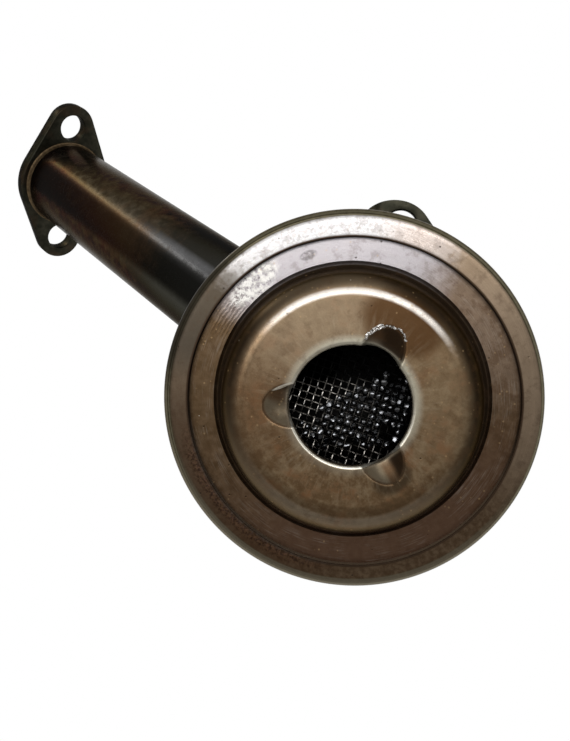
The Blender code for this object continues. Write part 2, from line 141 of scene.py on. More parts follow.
def divide(start, end, steps):
    """Points from start up to, but not on, end."""
    return [(start[0] + (end[0] - start[0]) * i / steps, start[1] + (end[1] - start[1]) * i / steps)
            for i in range(steps)]


def turned(section, sides, shape=None, sweep=math.tau, start=0.0):
    """Turns a closed section about Z; shape(radius, height, angle) may move a point."""
    bm = bmesh.new()
    whole = math.isclose(sweep, math.tau)
    columns = sides if whole else sides + 1
    rings = []
    for radius, height in section:
        ring = []
        for i in range(columns if radius > 1e-7 else 1):
            angle = start + sweep * i / sides
            r, h = shape(radius, height, angle) if shape else (radius, height)
            ring.append(bm.verts.new((r * math.cos(angle), r * math.sin(angle), h)))
        rings.append(ring * columns if len(ring) == 1 else ring)
    for lower, upper in zip(rings, rings[1:] + rings[:1]):
        if lower[0] is lower[1] and upper[0] is upper[1]:
            continue
        for i in range(sides):
            k = (i + 1) % columns
            bm.faces.new(list(dict.fromkeys((lower[i], lower[k], upper[k], upper[i]))))
    if not whole:
        bm.faces.new([ring[0] for ring in rings])
        bm.faces.new([ring[-1] for ring in rings])
    bmesh.ops.recalc_face_normals(bm, faces=bm.faces)
    return bm


def prism(outline, low, high):
    """A straight-sided block over an outline of (x, y) points."""
    bm = bmesh.new()
    floor_ring, roof_ring = ([bm.verts.new((x, y, z)) for x, y in outline] for z in (low, high))
    bm.faces.new(floor_ring)
    bm.faces.new(roof_ring)
    for i in range(len(outline)):
        k = (i + 1) % len(outline)
        bm.faces.new((floor_ring[i], floor_ring[k], roof_ring[k], roof_ring[i]))
    bmesh.ops.recalc_face_normals(bm, faces=bm.faces)
    return bm


def to_object(name, bm, place=Matrix.Identity(4)):
    """Turns a bmesh into an object at the origin, with its place in its mesh."""
    bm.transform(place)
    mesh = bpy.data.meshes.new(name)
    bm.to_mesh(mesh)
    bm.free()
    made = bpy.data.objects.new(name, mesh)
    scene.collection.objects.link(made)
    return made

# %% [markdown]
# ## Cutting and rounding
# Holes are cut by exact Booleans, which leave a clean edge and a closed mesh. Real holes have rounded edges,
# so the cutter is a rod that flares where it meets each face of the plate. Each modifier is turned into plain
# mesh at once, so that the next step starts from what is really there.

# %% Helpers for cutting and rounding
CUT_PAST = 0.01
FLARE_SLIP = 0.00001
FLARE_STEPS = 4
BEVEL_SEGMENTS = 3
BEVEL_ABOVE = math.radians(40)


def settle(body):
    """Replaces an object's mesh by what its modifiers make of it."""
    bpy.context.view_layer.update()
    seen = body.evaluated_get(bpy.context.evaluated_depsgraph_get())
    mesh = bpy.data.meshes.new_from_object(seen)
    body.modifiers.clear()
    body.data = mesh


def cut(body, cutter, operation="DIFFERENCE"):
    """Applies an exact Boolean at once and removes the cutter."""
    step = body.modifiers.new("cut", "BOOLEAN")
    step.operation = operation
    step.solver = "EXACT"
    step.object = cutter
    settle(body)
    bpy.data.objects.remove(cutter)


def bevel(body, width):
    """Rounds the sharp edges of a plate."""
    step = body.modifiers.new("edge", "BEVEL")
    step.width = width
    step.segments = BEVEL_SEGMENTS
    step.limit_method = "ANGLE"
    step.angle_limit = BEVEL_ABOVE
    settle(body)


def hole_cutter(radius, low, high, edge, sides):
    """A rod that flares at both faces of a plate, so the hole that it cuts has rounded edges."""
    wide = radius + edge
    flare_low = arc((wide, low + edge - FLARE_SLIP), edge, 270, 180, FLARE_STEPS)
    flare_high = arc((wide, high - edge + FLARE_SLIP), edge, 180, 90, FLARE_STEPS)
    ends = [(wide, high + CUT_PAST), (0, high + CUT_PAST)]
    return turned([(0, low - CUT_PAST), (wide, low - CUT_PAST)] + flare_low + flare_high + ends, sides)

# %% [markdown]
# ## Finishing a piece
# A finished piece has one material, smooth shading except on real edges and the body that it rides on, and
# the imported solid that it stands for is hidden. One function does all of it for every piece.

# %% Helper for finished pieces
SMOOTH_BELOW = math.radians(35)
BODY = "root"


def finish_piece(body, finish, node):
    """Smooths the piece, gives it its material, puts it on its body and hides the solid that it stands for.
    """
    body.data.materials.clear()
    body.data.materials.append(finish.material)
    body.data.shade_smooth()
    body.data.set_sharp_from_angle(angle=SMOOTH_BELOW)
    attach(body, BODY)
    if node:
        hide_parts(node)
    body.data.calc_loop_triangles()
    print(f"{body.name}: {len(body.data.loop_triangles)} triangles")


def tell(body):
    """Prints how many faces a piece has."""
    print(f"{body.name}: {len(body.data.polygons)} faces")

# %% [markdown]
# ## Node trees as sums
# A worn metal is a stack of masks: how far from the axis, which side, how noisy. A weave is a wave along each
# wire. Wiring Math nodes by hand hides such a sum, so a small class wraps a socket and turns + - * / into
# Math nodes. Every other node comes from one method that takes its type, its settings and what goes into its
# sockets. The same two classes serve materials, Geometry Nodes and the world.

# %% The socket class and the tree class
class Value:
    """A socket of a node tree, usable in Python sums."""

    def __init__(self, owner, socket):
        self.owner = owner
        self.socket = socket

    def math(self, operation, *others):
        return self.owner.node("ShaderNodeMath", dict(enumerate((self, *others))), operation=operation)

    def __add__(self, other):
        return self.math("ADD", other)

    def __sub__(self, other):
        return self.math("SUBTRACT", other)

    def __mul__(self, other):
        return self.math("MULTIPLY", other)

    def __truediv__(self, other):
        return self.math("DIVIDE", other)

    def __rsub__(self, other):
        return self.owner.node("ShaderNodeMath", {0: other, 1: self}, operation="SUBTRACT")

    __radd__ = __add__
    __rmul__ = __mul__

    def step(self, low, high, below=0.0, above=1.0):
        """below up to low, above from high on and smooth between; low may be the larger of the two."""
        return self.owner.node("ShaderNodeMapRange", {
            "Value": self, "From Min": low, "From Max": high, "To Min": below, "To Max": above},
            interpolation_type="SMOOTHSTEP")

    def band(self, middle, half_width, softness):
        """1 within half_width of middle, fading over softness."""
        return (self - middle).math("ABSOLUTE").step(half_width + softness, half_width)

    def along(self, way):
        """How far a place lies along a direction."""
        return self.owner.node("ShaderNodeVectorMath", {
            0: self, 1: way if isinstance(way, Value) else tuple(way)}, output=1, operation="DOT_PRODUCT")

    def stretched(self, factor):
        """A vector times a number."""
        return self.owner.node("ShaderNodeVectorMath", {0: self, "Scale": factor}, operation="SCALE")


class Tree:
    """A node tree and the one way in which its nodes are made."""

    def __init__(self, tree):
        self.tree = tree

    def node(self, kind, inputs=None, output=0, **settings):
        made = self.tree.nodes.new(kind)
        for name, value in settings.items():
            setattr(made, name, value)
        self.fill(made, inputs or {})
        return Value(self, made.outputs[output])

    def fill(self, made, inputs):
        """Gives a node's sockets their values or links."""
        for key, value in inputs.items():
            if isinstance(value, Value):
                self.tree.links.new(value.socket, made.inputs[key])
            else:
                made.inputs[key].default_value = value

# %% [markdown]
# ## Materials in coats
# A finish starts from a ground colour, and each coat mixes one more colour over it where its mask says so, as
# a painter would glaze. Masks come from noise, from round speckles, and from where a place lies on the piece:
# how far out from the axis, how deep, and on which side. All of them count in millimetres and degrees.

# %% The material class
SPECKLE_CORE = 0.55
FINE_RELIEF = 0.00006


def seen(color):
    """A colour as seen, from 0 to 255, as the linear values that a shader takes; a socket stays itself."""
    if isinstance(color, Value):
        return color
    return (*(c / 255 / 12.92 if c <= 10 else ((c / 255 + 0.055) / 1.055) ** 2.4 for c in color), 1.0)


class Finish(Tree):
    """A material on Blender's Principled shader."""

    def __init__(self, name):
        self.material = bpy.data.materials.new(name)
        self.material.use_nodes = True
        super().__init__(self.material.node_tree)
        self.shader = self.tree.nodes["Principled BSDF"]

    def noise(self, where, scale, detail=3.0, roughness=0.5):
        """Smooth noise from 0 to 1 round 0.5."""
        return self.node("ShaderNodeTexNoise", {
            "Vector": where, "Scale": scale, "Detail": detail, "Roughness": roughness})

    def vector(self, x, y, z):
        return self.node("ShaderNodeCombineXYZ", {"X": x, "Y": y, "Z": z})

    def mix(self, share, first, second):
        """first where share is 0 and second where it is 1; both are colours."""
        colors = {0: share, 6: seen(first), 7: seen(second)}
        return self.node("ShaderNodeMix", colors, output=2, data_type="RGBA")

    def coats(self, color, **layers):
        """Mixes coats over a colour in turn; each is a share and a colour, and its node shows its name."""
        for name, (share, tint) in layers.items():
            color = self.mix(share, color, tint)
            color.socket.node.label = name.replace("_", " ")
        return color

    def speckles(self, where, spacing, size, share):
        """Small round spots about spacing apart, of size times spacing, in that share of their cells."""
        cell = {"Vector": where, "Scale": 1 / spacing}
        near = self.node("ShaderNodeTexVoronoi", cell).step(size, size * SPECKLE_CORE)
        chance = self.node("ShaderNodeTexVoronoi", cell, output=1)
        draw = self.node("ShaderNodeSeparateColor", {"Color": chance})
        return near * draw.math("LESS_THAN", share)

    def bump(self, height, strength, distance=FINE_RELIEF):
        return self.node("ShaderNodeBump", {"Height": height, "Distance": distance, "Strength": strength})

    def set(self, **values):
        """Sets or links sockets of the shader; an underscore in a name stands for a space."""
        self.fill(self.shader, {key.replace("_", " "): seen(value) if isinstance(value, tuple) else value
                                for key, value in values.items()})

# %% [markdown]
# ## Places on the round pieces
# A texture coordinate gives a place in metres in the object's own space. A Mapping node moves it to the axis
# and makes it millimetres, and dot products then tell how far it lies along the directions that matter.

# %% Helpers for places
MILLIMETRES = 1000
SPOT_OUTSIDE = 1.4
SPOT_CORE = 0.5


def centred(finish, origin):
    """The object's own place in millimetres from an origin."""
    place = finish.node("ShaderNodeTexCoord", output="Object")
    return finish.node("ShaderNodeMapping", {
        "Vector": place, "Location": tuple(origin * -MILLIMETRES), "Scale": (MILLIMETRES,) * 3})


class Around:
    """The sides of a round piece, from the unit direction (x, y) out of its axis."""

    def __init__(self, x, y):
        self.x = x
        self.y = y

    def toward(self, degrees):
        """1 where the direction points at that angle, counted from right to up, and -1 opposite."""
        angle = math.radians(degrees)
        return self.x * math.cos(angle) + self.y * math.sin(angle)

    def side(self, degrees, low, high):
        """A mask of the side at that angle, which starts where toward is low and is full where it is high."""
        return self.toward(degrees).step(low, high)


class OnHead(Around):
    """The place from the head's centre, and how far it is right, up, deep and out from the axis."""

    def __init__(self, finish):
        self.place = centred(finish, HEAD)
        self.u = self.place.along(FACE_RIGHT)
        self.v = self.place.along(FACE_UP)
        self.depth = self.place.along(UPWARD)
        self.r = (self.u * self.u + self.v * self.v).math("POWER", 0.5)
        super().__init__(self.u / self.r, self.v / self.r)

    def spot(self, rightward, upward, width, height, turned_by=0):
        """A soft oval patch there with half axes width and height, turned by degrees."""
        angle = math.radians(turned_by)
        du, dv = self.u - rightward, self.v - upward
        a = (du * math.cos(angle) + dv * math.sin(angle)) / width
        b = (dv * math.cos(angle) - du * math.sin(angle)) / height
        return (a * a + b * b).step(SPOT_OUTSIDE, SPOT_CORE)

# %% [markdown]
# ## Bell housing
# The bell is one pressed sheet: a ball on a steep cone, a flange, and a rim folded over the cover. The fold
# isn't perfect on the real part: its flat lip sits a little to the lower right, so the dark rounded edge is
# wider at the upper left. A turned section with a shaping function gives both.

# %% Sizes of the bell
SHEET = 0.0013
FIT_GAP = 0.0003
COVER_FRONT = SHEET + FIT_GAP
LIP_INNER = RIM_RADIUS - 0.00475
LIP_EDGE = 0.00014
LIP_SLOPE = 0.00016
FACE_RADIUS = RIM_RADIUS - 0.0014
FACE_GAP = 0.0002
CREASE = math.radians(32)
RIM_WIDEST_DEPTH = 0.0012
FRONT_STEPS = 10
SEAM_LINE_DEPTH = 0.0022
# Each point of the line round the rim: how far it sinks in, and how far it lies from the line's middle.
SEAM_LINE = ((0.00002, -0.0004), (0.00005, -0.00015), (0.00018, 0.0), (0.00008, 0.00015), (0.0001, 0.0004))
STACK_DEPTH = 0.0055
SEAT_DEPTH = STACK_DEPTH - SHEET
BACK_INSET = 0.0001
BACK_ROUND_OUT = 0.0009
BACK_ROUND_DEEP = 0.0016
JOGGLE_RADIUS = RIM_RADIUS - 0.0070
JOGGLE_HALF = 0.0005
SCREEN_DISH = 0.0008
FILLET = 0.0020
CONE = math.radians(82)
BALL_DEPTH = BALL_CENTRE.z - HEAD.z
BALL_STEPS = 28
ROUND_STEPS = 8
print(f"lip from {LIP_INNER * 1000:.2f} to {FACE_RADIUS * 1000:.2f} mm, ball {BALL_DEPTH * 1000:.2f} mm deep")

# %% Section of the bell
def bell_wall(inset):
    """Profile of the bell's wall from the joggle to the top, inset from its outer face."""
    flange = STACK_DEPTH - inset
    out = Vector((math.sin(CONE), math.cos(CONE)))
    down = Vector((math.cos(CONE), -math.sin(CONE)))
    ball_edge = Vector((0, BALL_DEPTH)) + BELL_RADIUS * out
    fillet_height = STACK_DEPTH + SCREEN_DISH + FILLET
    run = (ball_edge.y + FILLET * out.y - fillet_height) / math.sin(CONE)
    centre = ball_edge + run * down + FILLET * out
    cone_turn = math.degrees(math.atan2(-out.y, -out.x)) + 360
    joggle = [(JOGGLE_RADIUS + JOGGLE_HALF, flange), (JOGGLE_RADIUS - JOGGLE_HALF, flange + SCREEN_DISH)]
    fillet = arc(centre, FILLET + inset, 270, cone_turn, ROUND_STEPS)
    ball = arc((0, BALL_DEPTH), BELL_RADIUS - inset, 90 - math.degrees(CONE), 90, BALL_STEPS)
    ball[-1] = (0.0, ball[-1][1])
    return joggle + fillet + ball


def bell_section():
    """The closed section: lip, folded front, seam line, rounded back, outer wall, inner wall and pocket."""
    inner_edge = arc((LIP_INNER + LIP_EDGE, LIP_EDGE), LIP_EDGE, 180, 270, 4)
    face = divide(inner_edge[-1], (FACE_RADIUS - FACE_GAP, LIP_SLOPE), 6)[1:]
    front = []
    for i in range(FRONT_STEPS + 1):
        angle = CREASE + (math.pi / 2 - CREASE) * i / FRONT_STEPS
        out = (math.sin(angle) - math.sin(CREASE)) / (1 - math.sin(CREASE))
        back_share = 1 - math.cos(angle) / math.cos(CREASE)
        front.append((FACE_RADIUS + (RIM_RADIUS - FACE_RADIUS) * out,
                      LIP_SLOPE + (RIM_WIDEST_DEPTH - LIP_SLOPE) * back_share))
    line = [(RIM_RADIUS - sink, SEAM_LINE_DEPTH + shift) for sink, shift in SEAM_LINE]
    back = [(RIM_RADIUS - BACK_INSET - BACK_ROUND_OUT * (1 - out), STACK_DEPTH - BACK_ROUND_DEEP * (1 - deep))
            for out, deep in arc((0, 0), 1.0, 0, 90, ROUND_STEPS)]
    inner = bell_wall(SHEET)
    inner.reverse()
    pocket_radius = RIM_RADIUS - SHEET
    pocket = [(pocket_radius, SEAT_DEPTH), (pocket_radius, COVER_FRONT), (LIP_INNER, COVER_FRONT)]
    return inner_edge + face + front + line + back + bell_wall(0) + inner + pocket

# %% [markdown]
# ## An uneven fold
# A folded lip never ends on a true circle. A few slow waves in the angle move its inner edge, and a few fast
# ones make it waver. The waves are kept in one table, because the finishes need them for the seam's dark line
# and painted shadow.

# %% Shape and cut the bell
BELL_SIDES = 288
LIP_SHIFT = 0.00045
lip_way = on_face(-38)
# Each slow wave: how many to a turn, how far it reaches and the angle on the face where it peaks.
LIP_WAVES = ((0, 0.00005, 0), (1, 0.00038, -63), (2, 0.00013, -15), (3, 0.00009, 20))
# Each fast wave: how many to a turn, how far it reaches and its start in radians.
LIP_WAVERS = ((5, 0.00003, 1), (13, 0.00002, 0), (31, 0.000012, 0))
WAVE_WIDTH = 0.002
HAIR = 1e-6
TUBE_RADIUS = 0.0127
SEATED = TUBE_RADIUS - 0.00005
TUBE_SIDES = 192


def lip_wander(angle):
    """How far the lip's inner edge lies outside its circle at an angle about +Z."""
    way = Vector((math.cos(angle), math.sin(angle), 0))
    face_angle = math.atan2(way.dot(FACE_UP), way.dot(FACE_RIGHT))
    slow = sum(reach * math.cos(waves * (face_angle - math.radians(peak)))
               for waves, reach, peak in LIP_WAVES)
    return slow + sum(reach * math.sin(waves * angle + start) for waves, reach, start in LIP_WAVERS)


def fold(radius, height, angle):
    """Shifts the flat lip's outer edge off centre and lets the lip's inner edge wander."""
    if radius < LIP_INNER - HAIR or height > RIM_WIDEST_DEPTH and radius > LIP_INNER + HAIR:
        return radius, height
    if radius >= FACE_RADIUS - FACE_GAP:
        side = math.cos(angle) * lip_way.x + math.sin(angle) * lip_way.y
        share = min(1.0, (RIM_RADIUS - radius) / (RIM_RADIUS - FACE_RADIUS))
        return radius + LIP_SHIFT * side * share, height
    return radius + lip_wander(angle) * max(0.0, 1 - (radius - LIP_INNER) / WAVE_WIDTH), height


bell = to_object("bell_shell", turned(bell_section(), BELL_SIDES, fold), TO_HEAD)
past_ball = BELL_RADIUS + TUBE_RADIUS
bore = turned([(SEATED, 0.0), (SEATED, past_ball), (0, past_ball), (0, 0)], TUBE_SIDES)
cut(bell, to_object("bore", bore, TO_TUBE))
tell(bell)

# %% [markdown]
# ## Inlet cover
# The cover is a second pressing, held under the fold: a flat flange, a groove, a dome with a rounded
# shoulder, and a plateau with a rolled hole. Three thumb-shaped scoops are pushed in at the hole's edge.
# The same press function moves the front and the back of the sheet, so its thickness stays even.

# %% Sizes of the cover
COVER_SHEET = 0.0012
COVER_EDGE = RIM_RADIUS - SHEET - FIT_GAP
COVER_SIDES = 420
GROOVE_RADIUS = LIP_INNER - 0.0055
GROOVE_BRINK = 0.0016
GROOVE_DEPTH = 0.00055
GROOVE_HALF = 0.00075
GROOVE_TO_WALL = 0.00055
GROOVE_STEPS = 8
FRONT_POWER = 1.5
WALL_RADIUS = GROOVE_RADIUS - GROOVE_TO_WALL
DOME_HEIGHT = 0.00645
DOME_TOP_RADIUS = WALL_RADIUS - 0.00065
SHOULDER = 0.0045
HOLE_RADIUS = DOME_TOP_RADIUS - SHOULDER - 0.00885
ROLL = 0.0007
LIP_LENGTH = 0.0006
SCOOPS = 3
SCOOP_FIELD = 0.0175
SCOOP_FIRST = math.radians(89.3)
SCOOP_DEPTH = 0.0023
SCOOP_LENGTH = 0.0052
SCOOP_HALF = 0.0040
SCOOP_TIP_POWER = 1.8
SCOOP_SIDE_POWER = 2.2
SCOOP_SPLAY = 0.25
SPLAY_WIDTH = 0.002
print(f"hole radius {HOLE_RADIUS * 1000:.2f} mm, groove radius {GROOVE_RADIUS * 1000:.2f} mm")

# %% Press the cover
def cover_face(inset):
    """Profile of one face of the cover from its edge to the hole, inset from the front."""
    flat = COVER_FRONT + inset
    top = inset - DOME_HEIGHT
    power = 1.0 if inset else FRONT_POWER
    rim = divide((COVER_EDGE, flat), (GROOVE_RADIUS + GROOVE_BRINK, flat), ROUND_STEPS)
    groove = []
    for i in range(GROOVE_STEPS):
        across = i / GROOVE_STEPS
        sink = GROOVE_DEPTH * math.sin(math.pi * across) ** power
        width = GROOVE_HALF + GROOVE_TO_WALL + inset * 1.5
        groove.append((GROOVE_RADIUS + GROOVE_HALF + inset / 2 - across * width, flat + sink))
    groove.append((WALL_RADIUS - inset, COVER_FRONT))
    shoulder = arc((DOME_TOP_RADIUS - SHOULDER, SHOULDER - DOME_HEIGHT), SHOULDER - inset, -10, -90, 18)
    plateau = divide(shoulder[-1], (SCOOP_FIELD, top), 3)[1:]
    roll_centre = (HOLE_RADIUS + ROLL, ROLL - DOME_HEIGHT)
    field = divide((SCOOP_FIELD, top), (roll_centre[0], top), 22)
    roll = arc(roll_centre, ROLL - inset, 270, 180, 10)
    lip_end = (HOLE_RADIUS + inset, roll_centre[1] + LIP_LENGTH)
    return rim + groove + shoulder + plateau + field + roll + [lip_end]


def press(radius, height, angle):
    """Pushes the scoops in: half cones with sharp sides and a rounded tip."""
    lift = 0.0
    for k in range(SCOOPS):
        turn_angle = angle - SCOOP_FIRST - math.tau * k / SCOOPS
        forward = radius * math.cos(turn_angle)
        reach = max(0.0, (forward - HOLE_RADIUS) / SCOOP_LENGTH)
        if forward <= 0 or reach >= 1:
            continue
        across = abs(radius * math.sin(turn_angle)) / (SCOOP_HALF * math.sqrt(1 - reach**SCOOP_TIP_POWER))
        if across < 1:
            ramp = 1 - 0.5 * reach - 0.5 * reach**3
            lift = max(lift, SCOOP_DEPTH * ramp * (1 - across**SCOOP_SIDE_POWER))
    splay = min(1, max(0, 1 - (radius - HOLE_RADIUS) / SPLAY_WIDTH))
    return radius + SCOOP_SPLAY * lift * splay, height + lift


cover_back = cover_face(COVER_SHEET)
cover_back.reverse()
cover = to_object("cover_pressing", turned(cover_face(0) + cover_back, COVER_SIDES, press), TO_HEAD)
tell(cover)

# %% [markdown]
# ## Geometry Nodes from a script
# Geometry Nodes suit what repeats or follows a path. A tree gets a named input for each of its sizes, and the
# modifier that runs it gets the values. Each tree ends in Realize Instances and Set Material, and what it
# makes is kept as a plain mesh.

# %% The class for node groups
class Shapes(Tree):
    """A Geometry Nodes tree with named inputs, one for each size that it is given."""

    KINDS = {float: "Float", int: "Int", tuple: "Vector",
             bpy.types.Material: "Material", bpy.types.Object: "Object"}

    def __init__(self, name, sizes):
        super().__init__(bpy.data.node_groups.new(name, "GeometryNodeTree"))
        self.name = name
        self.sizes = sizes
        sockets = self.tree.interface
        sockets.new_socket("Geometry", in_out="OUTPUT", socket_type="NodeSocketGeometry")
        self.identifiers = {}
        for label, value in sizes.items():
            kind = "NodeSocket" + self.KINDS[type(value)]
            self.identifiers[label] = sockets.new_socket(label, in_out="INPUT", socket_type=kind).identifier
        entry = self.tree.nodes.new("NodeGroupInput")
        self.given = {label: Value(self, entry.outputs[label]) for label in sizes}

    def square(self, pitch, points_x, points_y):
        """A square grid of points; its side is the pitch times one less than points_y."""
        span = pitch * (points_y - 1)
        return self.node("GeometryNodeMeshGrid", {
            "Size X": span, "Size Y": span, "Vertices X": points_x, "Vertices Y": points_y})

    def moved(self, geometry, offset):
        return self.node("GeometryNodeSetPosition", {"Geometry": geometry, "Offset": offset})

    def swept(self, curve, radius, sides):
        """A thin rod along each curve."""
        circle = self.node("GeometryNodeCurvePrimitiveCircle", {"Resolution": sides, "Radius": radius})
        return self.node("GeometryNodeCurveToMesh", {
            "Curve": curve, "Profile Curve": circle, "Fill Caps": True})

    def joined(self, parts):
        """All parts as one; they go into one socket."""
        join = self.tree.nodes.new("GeometryNodeJoinGeometry")
        for part in parts:
            self.tree.links.new(part.socket, join.inputs[0])
        return Value(self, join.outputs[0])

    def made(self, geometry):
        """Ends the tree, runs it on an empty object and keeps what it makes as a plain mesh."""
        whole = self.node("GeometryNodeRealizeInstances", {"Geometry": geometry})
        done = self.node("GeometryNodeSetMaterial", {"Geometry": whole, "Material": self.given["Material"]})
        self.fill(self.tree.nodes.new("NodeGroupOutput"), {0: done})
        body = bpy.data.objects.new(self.name, bpy.data.meshes.new(self.name))
        scene.collection.objects.link(body)
        step = body.modifiers.new("nodes", "NODES")
        step.node_group = self.tree
        for label, value in self.sizes.items():
            step[self.identifiers[label]] = value
        settle(body)
        return body

# %% [markdown]
# ## Finish of the folded bell
# Worn steel is never one colour. Its lip is brown with oil oxide, with a painted highlight over its top and
# painted light and shade on its sides; its rounded side is olive with a painted sheen at the bottom, and rust
# starts at the seam. Each of those is a mask: a range of radius, a direction on the face, or a patch of
# noise.
# The seam that the lip's edge makes with the cover gets a dark joint line and painted shadow, so its mask
# follows the same waves as the edge does.

# %% Masks of the seam
def wander_mask(at):
    """The lip edge's distance outside its circle, in millimetres, from the same waves as its shape."""
    whole = 0.0
    for waves, reach, peak in LIP_WAVES:
        near = at.toward(peak)
        wave = (1.0, near, near * near * 2 - 1, near * near * near * 4 - near * 3)[waves]
        whole = wave * (reach * MILLIMETRES) + whole
    return whole


def seam_dirt(at, seam):
    """The seam's dark joint line and painted shadow, darkest at the upper left."""
    return seam * (at.toward(130) * 0.38 + 0.52), (26, 18, 12)

# %% Paint the folded steel
def bell_finish():
    steel = Finish("folded_steel")
    at = OnHead(steel)
    place, r, depth, side = at.place, at.r, at.depth, at.side
    cloud = steel.noise(place, 0.22, 3.0, 0.6)
    patch = steel.noise(place, 0.9, 4.0, 0.65)
    grain = steel.noise(place, 9.0, 2.0, 0.6)
    marks = steel.noise(steel.vector(r * 7.0, at.x * 5.0, at.y * 5.0), 1.0, 3.0, 0.6)
    rust_place = side(226, 0.72, 0.96) * (r + patch * 1.2).step(34.2, 31.6)
    rust = rust_place * steel.noise(place, 1.6, 4.0, 0.7).step(0.42, 0.62)
    grit_place = side(226, 0.74, 0.94) * (r + patch * 1.6).step(34.6, 33.2)
    grit = grit_place * steel.noise(place, 1.5, 6.0, 0.8).step(0.46, 0.56)
    # Painted highlight over the top of the lip, warmer to the upper right and broken by duller patches.
    crown = (at.toward(96) + (patch - 0.5) * 0.10 + (cloud - 0.5) * 0.08).step(0.70, 0.90)
    dots = steel.speckles(place, 2.2, 0.10, 0.35) * (1 - rust_place * 0.3)
    nicks = steel.speckles(place, 3.1, 0.035, 0.5)

    lip = steel.coats(
        steel.mix(patch.step(0.35, 0.7), (78, 60, 42), (102, 84, 65)),
        # The right and left sides of the lip are painted lighter and its upper left darker, as painted light
        # and shade.
        tan=(side(26, 0.35, 0.98) * (cloud * 0.8 + 0.5), (138, 120, 100)),
        left_grey=(side(172, 0.45, 0.95) * (patch * 0.8 + 0.4), (106, 92, 76)),
        upper_left_shade=(side(150, 0.9, 0.99) * 0.8, (60, 55, 47)),
        lower_left_brown=(side(218, 0.6, 0.95) * 0.55, (68, 45, 27)),
        rust=(rust * 0.85, (82, 46, 24)),
        crown=(crown * (patch.step(0.25, 0.55) * 0.4 + 0.6), (166, 165, 165)),
        warm_crown=(crown * side(56, 0.88, 1.0) * 0.8, (166, 151, 141)),
        worn_crown=(crown * patch.step(0.50, 0.68) * 0.35, (120, 104, 90)),
        smudge=(at.spot(-22.8, 22.9, 1.6, 1.2) * patch.step(0.3, 0.6) * 0.75, (96, 92, 86)),
        dots=(dots * 0.75, (38, 30, 22)),
        nicks=(nicks * 0.8, (225, 215, 200)),
        blotches=(steel.noise(place, 0.42, 4.0, 0.7).step(0.50, 0.66) * 0.30, (66, 48, 34)),
        grain=((marks - 0.5) * 0.5 + (grain - 0.3) * 0.45, (60, 50, 40)),
        grit_ground=(grit_place * 0.25, (88, 62, 40)),
        grit=(grit * 0.85, (40, 23, 12)))

    # At the bottom the rounded edge and the lip's outer rim are painted paler, as a painted sheen.
    low_side = side(262, 0.2, 0.8) * r.step(33.9, 34.3)
    rounded = steel.coats(
        steel.mix(patch.step(0.3, 0.75), (62, 55, 38), (90, 82, 62)),
        pale_rings=((r.band(35.25, 0.10, 0.12) + r.band(34.75, 0.03, 0.1)) * 0.45, (142, 136, 112)),
        low_grey=(low_side * 0.7, (116, 108, 92)),
        upper_left_shade=(side(150, 0.86, 0.98) * 0.85, (30, 25, 18)),
        dots=(steel.speckles(place, 1.7, 0.10, 0.4) * 0.6, (40, 34, 26)))

    back = steel.coats(
        steel.mix(patch.step(0.3, 0.7), (66, 60, 47), (92, 82, 66)),
        heat=((depth + cloud * 14.0).step(16.0, 34.0), (58, 50, 44)))

    # The lip's inner edge wall is painted dark as shade in the seam, and painted lighter at the bottom as
    # painted light.
    edge_r = r - wander_mask(at)
    in_pocket = depth.step(1.9, 1.7)
    edge_wall = edge_r.step(31.5, 31.35) * depth.step(0.12, 0.3) * in_pocket * side(262, -0.1, 0.5)
    seam = (edge_r + (marks - 0.5) * 0.10).step(31.24, 31.12) * in_pocket
    color = steel.coats(
        rounded,
        lip=(depth.step(0.32, 0.20) * (1 - low_side * 0.8), lip),
        edge=(edge_r.step(31.6, 31.3) * in_pocket, (58, 44, 32)),
        low_edge=(edge_wall, (108, 92, 74)),
        seam=seam_dirt(at, seam),
        back=(depth.step(2.6, 5.4), back))
    rough = (0.36 - crown * 0.10 + (grain - 0.5) * 0.12 + rust * 0.25 + seam * 0.3
             + depth.step(1.0, 6.0) * 0.10)
    height = marks * 0.25 + grain * 0.22 + patch * 0.5 - dots * 0.9 + nicks * 0.4
    steel.set(Base_Color=color, Metallic=0.92 - rust * 0.5 - edge_wall * 0.6, Roughness=rough,
              Normal=steel.bump(height, 0.45))
    return steel


bell_steel = bell_finish()
print(f"folded steel: {len(bell_steel.tree.nodes)} nodes")
